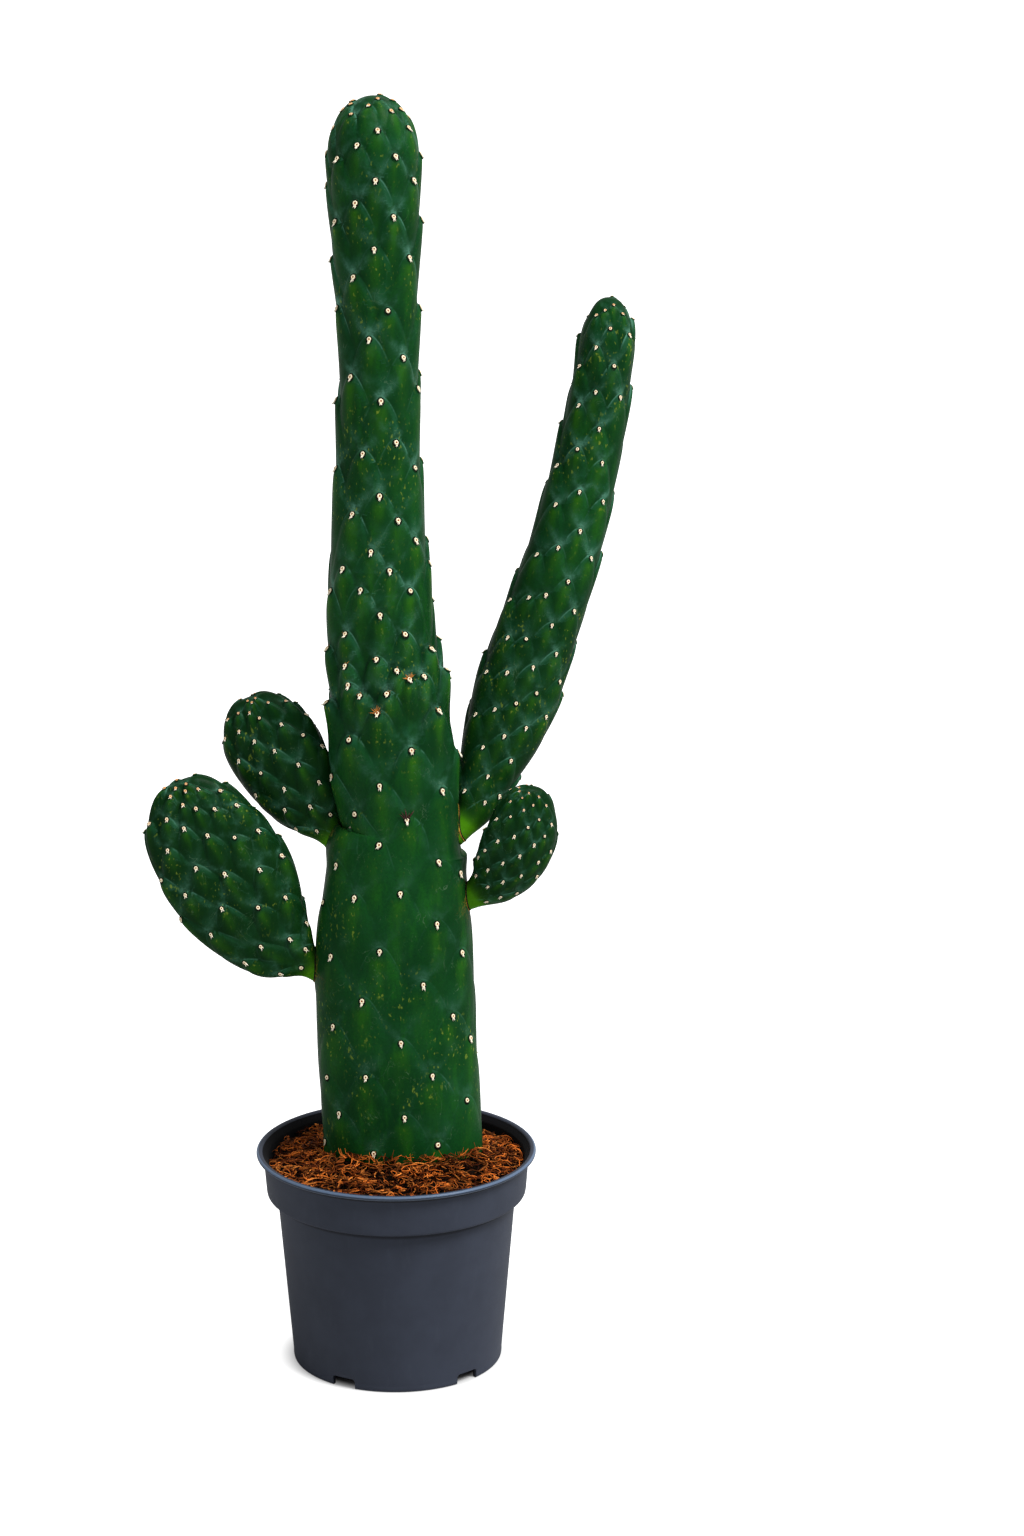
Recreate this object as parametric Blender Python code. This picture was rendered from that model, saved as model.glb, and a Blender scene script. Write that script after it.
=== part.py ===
"""A potted prickly pear cactus: a jointed, mounded plant rooted in coir, in a plastic grow pot.

The plant faces -Y, +X is to its right and +Z is up. The pot's foot stands on Z = 0, centred on the
origin. Lengths are in metres.
"""

import math
from collections import namedtuple

import bmesh
import bpy
import numpy as np
from mathutils import Matrix, Vector

MM = 0.001
UP = Vector((0.0, 0.0, 1.0))

# Gap kept between pieces that touch
CONTACT_GAP = 0.3 * MM

# Grow pot, 105 mm over its lip
LIP_RADIUS = 52.5 * MM
LIP_TOP = 82.2 * MM
LIP_THICKNESS = 1.9 * MM
LIP_WIDTH = 2.6 * MM
COLLAR_TOP_RADIUS = 49.7 * MM
COLLAR_FOOT_RADIUS = 48.7 * MM
COLLAR_FOOT = 65.0 * MM
BODY_TOP_RADIUS = 44.8 * MM
FOOT_RADIUS = 39.1 * MM
POT_WALL = 1.5 * MM
FLOOR_UNDERSIDE = 4.8 * MM
FLOOR_TOP = 6.3 * MM
POT_SIDES = 44

# Drainage notches round the foot, and the holes in the floor between them
NOTCH_COUNT = 5
FIRST_NOTCH_ANGLE = math.radians(-121.0)
NOTCH_WIDTH = 9.5 * MM
NOTCH_HEIGHT = 4.0 * MM
NOTCH_CORNER = 1.2 * MM
NOTCH_REACH = 9.0 * MM
DRAIN_RADIUS = 4.0 * MM
DRAIN_CIRCLE = 26.0 * MM
DRAIN_SIDES = 12

# Coir soil
SOIL_EDGE = 77.5 * MM
SOIL_AT_STEM = 80.8 * MM
SOIL_FRONT_RISE = 4.6 * MM
SOIL_GAP = 1.5 * CONTACT_GAP
SOIL_LUMPS = 0.7 * MM
SOIL_LUMP_SIZES = (5.3 * MM, 4.7 * MM)
SOIL_CRUMB_SIZES = (2.9 * MM, 3.7 * MM)
SOIL_SIDES = 40
SOIL_RINGS = 4
COIR_STRANDS = 15
COIR_RADIUS = 0.5 * MM
COIR_LENGTHS = (9.0 * MM, 14.0 * MM)
COIR_RISES = (1.2 * MM, 2.4 * MM)
COIR_PLACES = (0.35, 0.65)
COIR_STRAY = 0.5
COIR_BEND = 0.4
COIR_STATIONS = (-1.0, -0.55, 0.0, 0.55, 1.0)
COIR_SEED = 7

# Trunk
TRUNK_FOOT = 44.0 * MM
TRUNK_TIP = 474.3 * MM
TRUNK_CAP = 24.0 * MM
BURIED_TO = 89.0 * MM
TRUNK_ROWS = 68
TRUNK_RELIEF = 1.9 * MM

# Areoles, the spine cushions: a low four-sided cone on a mound of the skin
AREOLE_RADIUS = 1.35 * MM
AREOLE_HEIGHT = 0.95 * MM
EDGE_SHARE = 0.42
JOINT_CLEARANCE = 6.5 * MM

# Turn from one areole to the next: five thirteenths stands them in columns, as on the trunk, and
# the golden share leaves none, as on the pads
COLUMNS = 13
COLUMN_DIVERGENCE = 5.0 / COLUMNS
GOLDEN_DIVERGENCE = 0.5 * (3.0 - math.sqrt(5.0))
SKIN_SIDES = 2 * COLUMNS

# A mound peaks at its areole. Its reach is a share of the spacing between areoles
MOUND_REACH_ACROSS = 0.55
MOUND_REACH_ABOVE = 0.4
MOUND_REACH_BELOW = 0.75
MOUND_MEAN = 0.4

# A side stem starts this far inside the trunk, and has no areoles on the start of its neck
NECK_DEPTH = 5.0 * MM
BARE_NECK = 5.0 * MM

# A neck is pinched where it leaves the trunk: it loses a share of its swelling, over this length
PINCH_LENGTH = 8.0 * MM

# A side stem's areoles crowd towards its tip, over this share of its length but no further than this
CROWDED_SHARE = 0.42
CROWDED_LENGTH = 40.0 * MM
SKIN_AT_TIP = 0.25

# Places in the tables that follow a stem
TABLE_SIZE = 600

Stem = namedtuple(
    "Stem",
    "name spine across through turn rows skin relief phase divergence bare_below dimple",
)
Skin = namedtuple("Skin", "length along across through perimeter meridian area")


def clear_scene():
    for item in list(bpy.data.objects):
        bpy.data.objects.remove(item, do_unlink=True)


def make_material(name, colour, roughness, metallic=0.0):
    material = bpy.data.materials.new(name)
    material.use_nodes = True
    shader = material.node_tree.nodes["Principled BSDF"]
    shader.inputs["Base Color"].default_value = (*colour, 1.0)
    shader.inputs["Roughness"].default_value = roughness
    shader.inputs["Metallic"].default_value = metallic
    material.diffuse_color = (*colour, 1.0)
    return material


def make_object(name, bm, material):
    mesh = bpy.data.meshes.new(name)
    bm.normal_update()
    bm.to_mesh(mesh)
    bm.free()
    mesh.materials.append(material)
    mesh.shade_smooth()
    mesh.set_sharp_from_angle(angle=math.radians(38.0))
    item = bpy.data.objects.new(name, mesh)
    bpy.context.scene.collection.objects.link(item)
    return item


def make_cutter(item):
    item.hide_render = True
    item.display_type = "WIRE"
    return item


def apply_modifiers(item):
    """Replaces the object's mesh with the one that its modifiers give."""
    graph = bpy.context.evaluated_depsgraph_get()
    mesh = bpy.data.meshes.new_from_object(item.evaluated_get(graph))
    item.modifiers.clear()
    item.data = mesh


def curve_through(knots, values):
    """A smooth curve through the values, whose slope at a knot comes from its neighbours."""
    knots = np.asarray(knots, dtype=float)
    values = np.asarray(values, dtype=float)
    slopes = np.gradient(values, knots, axis=0)

    def at(position):
        position = np.clip(np.asarray(position, dtype=float), knots[0], knots[-1])
        index = np.clip(np.searchsorted(knots, position, side="right") - 1, 0, len(knots) - 2)
        span = knots[index + 1] - knots[index]
        step = (position - knots[index]) / span
        if values.ndim > 1:
            span = span[..., None]
            step = step[..., None]
        start = (2 * step**3 - 3 * step**2 + 1) * values[index]
        leave = (step**3 - 2 * step**2 + step) * span * slopes[index]
        end = (3 * step**2 - 2 * step**3) * values[index + 1]
        arrive = (step**3 - step**2) * span * slopes[index + 1]
        return start + leave + end + arrive

    return at


def smooth_step(value):
    value = np.clip(value, 0.0, 1.0)
    return value * value * (3.0 - 2.0 * value)


def bridge_rings(bm, rings):
    """Joins rings of equal count with quads whose normals point away from the rings' axis."""
    for low, high in zip(rings, rings[1:]):
        count = len(low)
        for i in range(count):
            j = (i + 1) % count
            bm.faces.new((low[i], low[j], high[j], high[i]))


def close_ring(bm, ring, centre, upward):
    """Closes a ring with a fan of triangles round one vertex."""
    pole = bm.verts.new(centre)
    count = len(ring)
    for i in range(count):
        j = (i + 1) % count
        if upward:
            bm.faces.new((ring[i], ring[j], pole))
        else:
            bm.faces.new((ring[j], ring[i], pole))
    return pole


def ring_of(bm, radius, height, count):
    verts = []
    for i in range(count):
        angle = math.tau * i / count
        verts.append(bm.verts.new((radius * math.cos(angle), radius * math.sin(angle), height)))
    return verts


# The pot

def pot_inner_profile():
    """Inner wall from the floor's edge up to the lip, as radius and height."""
    foot_inside = FOOT_RADIUS - POT_WALL * 0.6
    return [
        (foot_inside - 1.8 * MM, FLOOR_TOP),
        (foot_inside, FLOOR_TOP + 1.8 * MM),
        (BODY_TOP_RADIUS - POT_WALL, COLLAR_FOOT - 0.8 * MM),
        (COLLAR_FOOT_RADIUS - POT_WALL, COLLAR_FOOT + 1.6 * MM),
        (COLLAR_TOP_RADIUS - POT_WALL, LIP_TOP - LIP_THICKNESS - 0.8 * MM),
        (LIP_RADIUS - LIP_WIDTH, LIP_TOP - 0.5 * MM),
        (LIP_RADIUS - LIP_WIDTH + 0.5 * MM, LIP_TOP),
    ]


def pot_outer_profile():
    """Outer side from the lip's top down to the foot, then up inside the foot ring."""
    return [
        (LIP_RADIUS - 0.6 * MM, LIP_TOP),
        (LIP_RADIUS, LIP_TOP - 0.6 * MM),
        (LIP_RADIUS - 0.2 * MM, LIP_TOP - LIP_THICKNESS),
        (COLLAR_TOP_RADIUS + 0.3 * MM, LIP_TOP - LIP_THICKNESS - 0.1 * MM),
        (COLLAR_TOP_RADIUS, LIP_TOP - LIP_THICKNESS - 0.6 * MM),
        (COLLAR_FOOT_RADIUS, COLLAR_FOOT + 1.6 * MM),
        (COLLAR_FOOT_RADIUS - 1.0 * MM, COLLAR_FOOT + 0.1 * MM),
        (BODY_TOP_RADIUS, COLLAR_FOOT - 0.5 * MM),
        (FOOT_RADIUS + 0.3 * MM, 1.2 * MM),
        (FOOT_RADIUS - 0.2 * MM, 0.0),
        (FOOT_RADIUS - POT_WALL, 0.0),
        (FOOT_RADIUS - POT_WALL, FLOOR_UNDERSIDE),
    ]


def notch_angles():
    return [FIRST_NOTCH_ANGLE + math.tau * i / NOTCH_COUNT for i in range(NOTCH_COUNT)]


def build_notch_cutter(material):
    """One rounded block for each notch, across the foot ring."""
    bm = bmesh.new()
    for angle in notch_angles():
        turn = Matrix.Rotation(angle, 4, "Z")
        place = Matrix.Translation((FOOT_RADIUS, 0.0, 0.0))
        size = Matrix.Diagonal((NOTCH_REACH, NOTCH_WIDTH, 2.0 * NOTCH_HEIGHT, 1.0))
        cube = bmesh.ops.create_cube(bm, size=1.0, matrix=turn @ place @ size)
        outward = Vector((math.cos(angle), math.sin(angle), 0.0))
        corners = set()
        for vert in cube["verts"]:
            for edge in vert.link_edges:
                run = (edge.verts[1].co - edge.verts[0].co).normalized()
                if abs(run.dot(outward)) > 0.9 and edge.verts[0].co.z > 0.0:
                    corners.add(edge)
        bmesh.ops.bevel(
            bm, geom=list(corners), offset=NOTCH_CORNER, segments=2, profile=0.5, affect="EDGES"
        )
    return make_cutter(make_object("notch_cutter", bm, material))


def build_drain_cutter(material):
    """One upright plug for each drain hole in the floor, midway between two notches."""
    bm = bmesh.new()
    half_step = math.pi / NOTCH_COUNT
    for angle in notch_angles():
        turn = Matrix.Rotation(angle + half_step, 4, "Z")
        place = Matrix.Translation((DRAIN_CIRCLE, 0.0, (FLOOR_UNDERSIDE + FLOOR_TOP) / 2.0))
        bmesh.ops.create_cone(
            bm, cap_ends=True, segments=DRAIN_SIDES, radius1=DRAIN_RADIUS, radius2=DRAIN_RADIUS,
            depth=4.0 * (FLOOR_TOP - FLOOR_UNDERSIDE), matrix=turn @ place,
        )
    return make_cutter(make_object("drain_cutter", bm, material))


def build_pot(material):
    bm = bmesh.new()
    profile = pot_inner_profile() + pot_outer_profile()
    rings = [ring_of(bm, radius, height, POT_SIDES) for radius, height in profile]
    bridge_rings(bm, rings)
    close_ring(bm, rings[0], (0.0, 0.0, FLOOR_TOP), upward=False)
    close_ring(bm, rings[-1], (0.0, 0.0, FLOOR_UNDERSIDE), upward=True)
    bmesh.ops.reverse_faces(bm, faces=bm.faces)
    pot = make_object("pot", bm, material)
    for cutter in (build_notch_cutter(material), build_drain_cutter(material)):
        cut = pot.modifiers.new(cutter.name, "BOOLEAN")
        cut.operation = "DIFFERENCE"
        cut.solver = "EXACT"
        cut.object = cutter
    return pot


# The stems

def grown_law(neck, widest, end, widest_at, cap, roundness, pinch, length):
    """Half size along a stem: it swells from its neck, tapers, and closes in a rounded tip."""

    def at(along):
        along = np.asarray(along, dtype=float)
        swell = np.sin(0.5 * math.pi * np.clip(along / widest_at, 0.0, 1.0))
        swell = swell * (1.0 - pinch * np.exp(-(((along - NECK_DEPTH) / PINCH_LENGTH) ** 2)))
        taper = np.clip((along - widest_at) / (length - widest_at), 0.0, 1.0)
        size = neck + (widest - neck) * swell + (end - widest) * taper
        tip = np.clip((along - (length - cap)) / cap, 0.0, 1.0)
        return size * np.sqrt(np.maximum(1.0 - tip**roundness, 0.0))

    return at


def spine_curve(points):
    """A spine through the points, by distance along it, and its length."""
    points = np.asarray(points, dtype=float)
    steps = np.linalg.norm(np.diff(points, axis=0), axis=1)
    knots = np.concatenate(([0.0], np.cumsum(steps)))
    rough = curve_through(knots, points)
    fine = rough(np.linspace(0.0, knots[-1], TABLE_SIZE))
    lengths = np.concatenate(([0.0], np.cumsum(np.linalg.norm(np.diff(fine, axis=0), axis=1))))

    def at(along):
        return np.stack([np.interp(along, lengths, fine[:, k]) for k in range(3)], axis=-1)

    return at, float(lengths[-1])


def measure_skin(stem):
    """Tables of size, perimeter, length along the skin and skin area, from the neck to the tip."""
    length = stem.spine[1]
    along = length * np.sin(np.linspace(0.0, 0.5 * math.pi, TABLE_SIZE))
    across = stem.across(along)
    through = stem.through(along)
    total = across + through
    lean = ((across - through) / np.maximum(total, 1e-9)) ** 2
    perimeter = math.pi * total * (1.0 + 3.0 * lean / (10.0 + np.sqrt(4.0 - 3.0 * lean)))
    mean = 0.5 * total
    slope = np.sqrt(np.diff(along) ** 2 + np.diff(mean) ** 2)
    meridian = np.concatenate(([0.0], np.cumsum(slope)))
    strips = slope * 0.5 * (perimeter[1:] + perimeter[:-1])
    area = np.concatenate((np.cumsum(strips[::-1])[::-1], [0.0]))
    return Skin(length, along, across, through, perimeter, meridian, area)


def section_angle(around, across, through):
    """Angle round the section for a share of its perimeter, even for a flat stem."""
    flatness = (across**2 - through**2) / np.maximum(across**2 + through**2, 1e-12)
    return math.tau * around + 0.25 * flatness * np.sin(2.0 * math.tau * around)


def skin_points(stem, around, along):
    """Points of the smooth skin at shares of the perimeter and distances along the spine."""
    curve, length = stem.spine
    step = 0.5 * MM
    centre = curve(along)
    tangent = curve(np.minimum(along + step, length)) - curve(np.maximum(along - step, 0.0))
    tangent /= np.linalg.norm(tangent, axis=-1, keepdims=True)
    side = np.cross(np.array((0.0, 1.0, 0.0)), tangent)
    side /= np.linalg.norm(side, axis=-1, keepdims=True)
    back = np.cross(tangent, side)
    turned_side = math.cos(stem.turn) * side + math.sin(stem.turn) * back
    turned_back = math.cos(stem.turn) * back - math.sin(stem.turn) * side
    across = stem.across(along)
    through = stem.through(along)
    angle = section_angle(around, across, through)
    points = centre + turned_side * (across * np.cos(angle))[..., None]
    points += turned_back * (through * np.sin(angle))[..., None]
    hollow = stem.dimple * np.exp(-((across / (4.0 * MM)) ** 2)) * (along > 0.5 * length)
    return points - tangent * hollow[..., None]


def lay_out_areoles(stem, skin, joints):
    """Shares of the perimeter and distances along the spine, in one spiral from the tip down."""
    around = []
    along = []
    area = 0.5 * float(stem.skin(skin.length))
    limit = float(np.interp(stem.bare_below, skin.along, skin.area))
    count = 0
    while area < limit:
        place = float(np.interp(area, skin.area[::-1], skin.along[::-1]))
        share = (stem.phase + count * stem.divergence) % 1.0
        point = skin_points(stem, np.array([share]), np.array([place]))[0]
        if all(np.linalg.norm(point - joint) > JOINT_CLEARANCE for joint in joints):
            around.append(share)
            along.append(place)
        area += float(stem.skin(place))
        count += 1
    return np.array(around), np.array(along)


def mound_relief(stem, skin, areoles, around, along):
    """How far the skin stands out: each mound peaks at its areole and spreads out below it."""
    share, place = areoles
    perimeter = np.interp(along, skin.along, skin.perimeter)
    height = np.interp(along, skin.along, skin.meridian)
    mound_height = np.interp(place, skin.along, skin.meridian)
    spacing = np.sqrt(stem.skin(place))[None, :]
    turn = around[:, None] - share[None, :]
    turn -= np.round(turn)
    across = turn * perimeter[:, None] / (MOUND_REACH_ACROSS * spacing)
    below = (mound_height[None, :] - height[:, None]) / spacing
    down = below / np.where(below > 0.0, MOUND_REACH_BELOW, MOUND_REACH_ABOVE)
    mound = np.clip(1.0 - np.sqrt(across**2 + down**2), 0.0, 1.0)
    return stem.relief(along) * (np.max(mound, axis=1) - MOUND_MEAN)


def raise_areole(vert):
    """Cuts a small diamond round a vertex of the skin and lifts the vertex to a point."""
    normal = vert.normal.copy()
    rim = set()
    for edge in list(vert.link_edges):
        share = min(AREOLE_RADIUS / edge.calc_length(), EDGE_SHARE)
        rim.add(bmesh.utils.edge_split(edge, vert, share)[1])
    for face in list(vert.link_faces):
        first, second = [corner for corner in face.verts if corner in rim]
        bmesh.utils.face_split(face, first, second)
    vert.co += normal * AREOLE_HEIGHT


def seat_areoles(areoles, skin, around, along):
    """Moves the skin's nearest vertex to each areole. Returns those vertices' places in the grid."""
    meridian = np.interp(along, skin.along, skin.meridian)
    inner = range(SKIN_SIDES, len(along) - SKIN_SIDES)
    seats = []
    for share, place in zip(*areoles):
        turn = around - share
        turn -= np.round(turn)
        across = turn * np.interp(place, skin.along, skin.perimeter)
        below = meridian - np.interp(place, skin.along, skin.meridian)
        nearest = int(np.argmin(across**2 + below**2))
        if nearest not in seats and nearest in inner:
            seats.append(nearest)
            around[nearest] = share
            along[nearest] = place
    return seats


def build_stem(stem, material, joints=()):
    skin = measure_skin(stem)
    rows = np.linspace(0.0, skin.meridian[-1], stem.rows + 1)[:-1]
    row_along = np.interp(rows, skin.meridian, skin.along)
    around = np.tile(np.arange(SKIN_SIDES) / SKIN_SIDES, len(row_along))
    along = np.repeat(row_along, SKIN_SIDES)
    areoles = lay_out_areoles(stem, skin, joints)
    seats = seat_areoles(areoles, skin, around, along)
    points = skin_points(stem, around, along)
    relief = mound_relief(stem, skin, areoles, around, along)

    bm = bmesh.new()
    verts = [bm.verts.new(point) for point in points]
    rings = [verts[i:i + SKIN_SIDES] for i in range(0, len(verts), SKIN_SIDES)]
    bridge_rings(bm, rings)
    foot = stem.spine[0](0.0)
    tip = skin_points(stem, np.zeros(1), np.array([skin.length]))[0]
    close_ring(bm, rings[0], foot, upward=False)
    close_ring(bm, rings[-1], tip, upward=True)
    bm.normal_update()
    for vert, height in zip(verts, relief):
        vert.co += vert.normal * float(height)
    bm.normal_update()
    for seat in seats:
        raise_areole(verts[seat])
    return make_object(stem.name, bm, material)


def trunk_stem():
    # Height, centre to the right, half width and half depth of the trunk at the places where it turns
    stations = np.array((
        (TRUNK_FOOT / MM, 2.5, 28.0, 18.5),
        (BURIED_TO / MM, 2.5, 30.0, 20.0),
        (120.0, 0.6, 30.1, 19.8),
        (165.0, -0.1, 29.0, 19.2),
        (190.0, 0.7, 26.2, 18.0),
        (200.5, 1.2, 25.4, 16.8),
        (206.5, 2.4, 22.0, 16.2),
        (216.0, 1.6, 22.6, 16.2),
        (238.0, -0.8, 24.3, 17.0),
        (258.0, -2.1, 23.2, 17.2),
        (281.0, -4.3, 20.4, 16.6),
        (312.0, -4.8, 18.1, 15.8),
        (345.0, -4.5, 15.7, 14.6),
        (392.0, -4.2, 14.8, 14.0),
        (436.0, -5.1, 16.5, 15.6),
        (TRUNK_TIP / MM, -5.5, 16.3, 15.6),
    )) * MM
    heights = stations[:, 0]
    spine_points = np.stack((stations[:, 1], np.zeros(len(stations)), heights), axis=1)
    spine = spine_curve(spine_points)
    reach = spine[1]
    share = reach / (TRUNK_TIP - TRUNK_FOOT)
    knots = (heights - TRUNK_FOOT) * share
    buried = knots[1]
    tip_start = reach - TRUNK_CAP

    def law(column):
        above = curve_through(knots[1:], stations[1:, column])

        def at(along):
            along = np.asarray(along, dtype=float)
            below = np.interp(along, knots[:2], stations[:2, column])
            size = np.where(along < buried, below, above(along))
            tip = np.clip((along - tip_start) / TRUNK_CAP, 0.0, 1.0)
            return size * np.sqrt(np.maximum(1.0 - tip**2, 0.0))

        return at

    # Skin for each areole, in square millimetres, by height
    skin = curve_through(
        np.array((TRUNK_FOOT / MM, 150.0, 215.0, 245.0, 262.0, 280.0, 310.0, 400.0, 445.0, TRUNK_TIP / MM)),
        np.array((360.0, 360.0, 320.0, 250.0, 150.0, 140.0, 205.0, 205.0, 165.0, 70.0)),
    )

    def skin_share(along):
        return skin((np.asarray(along) / share + TRUNK_FOOT) / MM) * MM * MM

    def relief(along):
        height = np.asarray(along) / share + TRUNK_FOOT
        crowded = 0.7 * np.exp(-(((height - 266.0 * MM) / (22.0 * MM)) ** 2))
        young = 0.2 * smooth_step((height - 400.0 * MM) / (50.0 * MM))
        seen = smooth_step((height - BURIED_TO) / (6.0 * MM))
        return TRUNK_RELIEF * (1.0 + crowded + young) * seen

    bare = (BURIED_TO + 3.0 * MM - TRUNK_FOOT) * share
    return Stem(
        "trunk", spine, law(2), law(3), 0.0, TRUNK_ROWS, skin_share, relief, 1.5 / COLUMNS,
        COLUMN_DIVERGENCE, bare, 0.0,
    )


def side_stem(
    name, spine_points, across, through, widest_at, cap, roundness, pinch, turn, rows, skin, relief, phase,
    dimple,
):
    """A stem that grew from the trunk's side. Sizes are half widths at the neck, middle and end."""
    points = np.array(spine_points) * MM
    inward = points[0] - points[1]
    inward /= np.linalg.norm(inward)
    points = np.vstack((points[0] + inward * NECK_DEPTH, points))
    spine = spine_curve(points)
    length = spine[1]
    laws = []
    for neck, widest, end in (across, through):
        law = grown_law(
            neck * MM, widest * MM, end * MM, widest_at * MM + NECK_DEPTH, cap * MM, roundness, pinch,
            length,
        )
        laws.append(law)

    def skin_share(along):
        crowded = min(CROWDED_SHARE * length, CROWDED_LENGTH)
        room = smooth_step((length - np.asarray(along)) / crowded)
        return skin * (SKIN_AT_TIP + (1.0 - SKIN_AT_TIP) * room) * MM * MM

    def height(along):
        risen = smooth_step((np.asarray(along) - NECK_DEPTH - 2.0 * MM) / (9.0 * MM))
        tip = smooth_step((length - np.asarray(along)) / (8.0 * MM))
        return relief * MM * risen * (0.4 + 0.6 * tip)

    return Stem(
        name, spine, laws[0], laws[1], turn, rows, skin_share, height, phase, GOLDEN_DIVERGENCE,
        NECK_DEPTH + BARE_NECK, dimple * MM,
    )


def side_stems():
    """The three pads and the long arm. Spines give x, y and z in millimetres from the joint out."""
    lower_left_pad = side_stem(
        "lower_left_pad",
        ((-29.3, 0.0, 152.8), (-44.6, -2.0, 165.1), (-59.4, -4.0, 187.6), (-71.8, -6.0, 211.0),
         (-78.4, -8.0, 228.6)),
        across=(3.8, 23.8, 23.8), through=(3.2, 8.6, 8.6), widest_at=50.0, cap=41.0, roundness=2.3,
        pinch=0.75,
        turn=math.radians(6.0), rows=18, skin=135.0, relief=2.2, phase=0.3, dimple=1.4,
    )
    upper_left_pad = side_stem(
        "upper_left_pad",
        ((-21.6, 2.0, 202.0), (-33.0, 4.5, 218.0), (-45.3, 6.5, 238.4), (-52.6, 8.0, 256.2)),
        across=(3.8, 18.4, 18.4), through=(3.2, 8.2, 8.2), widest_at=39.0, cap=25.0, roundness=2.3,
        pinch=0.65,
        turn=math.radians(-8.0), rows=15, skin=75.0, relief=1.7, phase=0.1, dimple=1.2,
    )
    small_right_pad = side_stem(
        "small_right_pad",
        ((28.3, -2.0, 180.7), (36.7, -4.0, 187.2), (42.7, -6.5, 196.0), (46.6, -8.5, 206.0),
         (48.5, -10.0, 216.4), (50.2, -11.0, 226.3)),
        across=(3.2, 13.9, 13.9), through=(3.0, 7.0, 7.0), widest_at=27.0, cap=24.0, roundness=2.0,
        pinch=0.35,
        turn=math.radians(10.0), rows=13, skin=46.0, relief=1.5, phase=0.45, dimple=0.8,
    )
    right_arm = side_stem(
        "right_arm",
        ((24.6, 1.5, 206.2), (29.0, 4.4, 211.6), (32.8, 7.6, 221.2), (40.2, 11.0, 239.5),
         (50.9, 12.0, 270.8), (60.6, 12.0, 300.7), (68.5, 12.0, 330.3), (74.5, 11.5, 359.7),
         (78.1, 11.0, 388.7), (79.0, 11.0, 401.7)),
        across=(3.8, 16.2, 10.0), through=(3.2, 11.0, 9.4), widest_at=58.0, cap=19.0, roundness=2.0,
        pinch=0.35,
        turn=math.radians(-5.0), rows=34, skin=128.0, relief=2.0, phase=0.2, dimple=0.6,
    )
    return lower_left_pad, upper_left_pad, small_right_pad, right_arm


def build_side_stem(stem, material, trunk_clearance):
    """A side stem whose neck ends on the trunk's skin, a contact gap away from it."""
    item = build_stem(stem, material)
    cut = item.modifiers.new("seat on the trunk", "BOOLEAN")
    cut.operation = "DIFFERENCE"
    cut.solver = "EXACT"
    cut.object = trunk_clearance
    return item


# The soil

def soil_height(x, y, edge_share):
    """Height of the coir: it rises to the trunk, most of all in front of it."""
    front = float(smooth_step(0.5 - y / (40.0 * MM)))
    at_stem = SOIL_AT_STEM + SOIL_FRONT_RISE * front
    lumps = math.sin(x / SOIL_LUMP_SIZES[0] + 1.0) * math.sin(y / SOIL_LUMP_SIZES[1] + 0.4)
    lumps += 0.6 * math.sin(x / SOIL_CRUMB_SIZES[0] - y / SOIL_CRUMB_SIZES[1])
    fall = 1.0 - (1.0 - edge_share) ** 1.6
    level = at_stem + (SOIL_EDGE - at_stem) * fall
    return level + SOIL_LUMPS * lumps * math.sin(math.pi * edge_share)


def soil_point(stem, i, share):
    """A point of the soil's top, from the trunk's hole at share 0 to the pot's wall at 1."""
    around = i / SOIL_SIDES
    hole = hole_point(stem, around, SOIL_AT_STEM)
    radius = COLLAR_TOP_RADIUS - POT_WALL - SOIL_GAP
    angle = math.tau * around
    rim = Vector((radius * math.cos(angle), radius * math.sin(angle), 0.0))
    flat = hole.lerp(rim, share)
    return Vector((flat.x, flat.y, soil_height(flat.x, flat.y, share)))


def hole_point(stem, around, height):
    """A point of the plain hole that the trunk's buried foot stands in."""
    along = (height - TRUNK_FOOT) * stem.spine[1] / (TRUNK_TIP - TRUNK_FOOT)
    across = float(stem.across(along))
    through = float(stem.through(along))
    angle = float(section_angle(around, across, through))
    centre = stem.spine[0](along)
    x = centre[0] + (across + CONTACT_GAP) * math.cos(angle)
    y = centre[1] + (through + CONTACT_GAP) * math.sin(angle)
    return Vector((x, y, height))


def strand_mesh(rng, stem):
    """One arched coir strand with three sides, both of its ends sunk in the soil."""
    around = rng.random()
    length = rng.uniform(*COIR_LENGTHS)
    heading = math.tau * (around + 0.25) + rng.uniform(-COIR_STRAY, COIR_STRAY)
    bend = rng.uniform(-COIR_BEND, COIR_BEND)
    rise = rng.uniform(*COIR_RISES)
    middle = soil_point(stem, around * SOIL_SIDES, rng.uniform(*COIR_PLACES))
    path = []
    for share in COIR_STATIONS:
        direction = heading + bend * share
        offset = 0.5 * length * share
        lift = rise * (1.0 - 1.9 * share * share)
        path.append(middle + Vector((offset * math.cos(direction), offset * math.sin(direction), lift)))
    bm = bmesh.new()
    rings = []
    for i, point in enumerate(path):
        run = path[min(i + 1, len(path) - 1)] - path[max(i - 1, 0)]
        side = run.cross(UP).normalized()
        over = side.cross(run).normalized()
        ring = []
        for k in range(3):
            angle = math.tau * k / 3.0
            spoke = side * math.cos(angle) + over * math.sin(angle)
            ring.append(bm.verts.new(point + spoke * COIR_RADIUS))
        rings.append(ring)
    bridge_rings(bm, rings)
    bm.faces.new(reversed(rings[0]))
    bm.faces.new(rings[-1])
    bmesh.ops.recalc_face_normals(bm, faces=bm.faces)
    return bm


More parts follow.
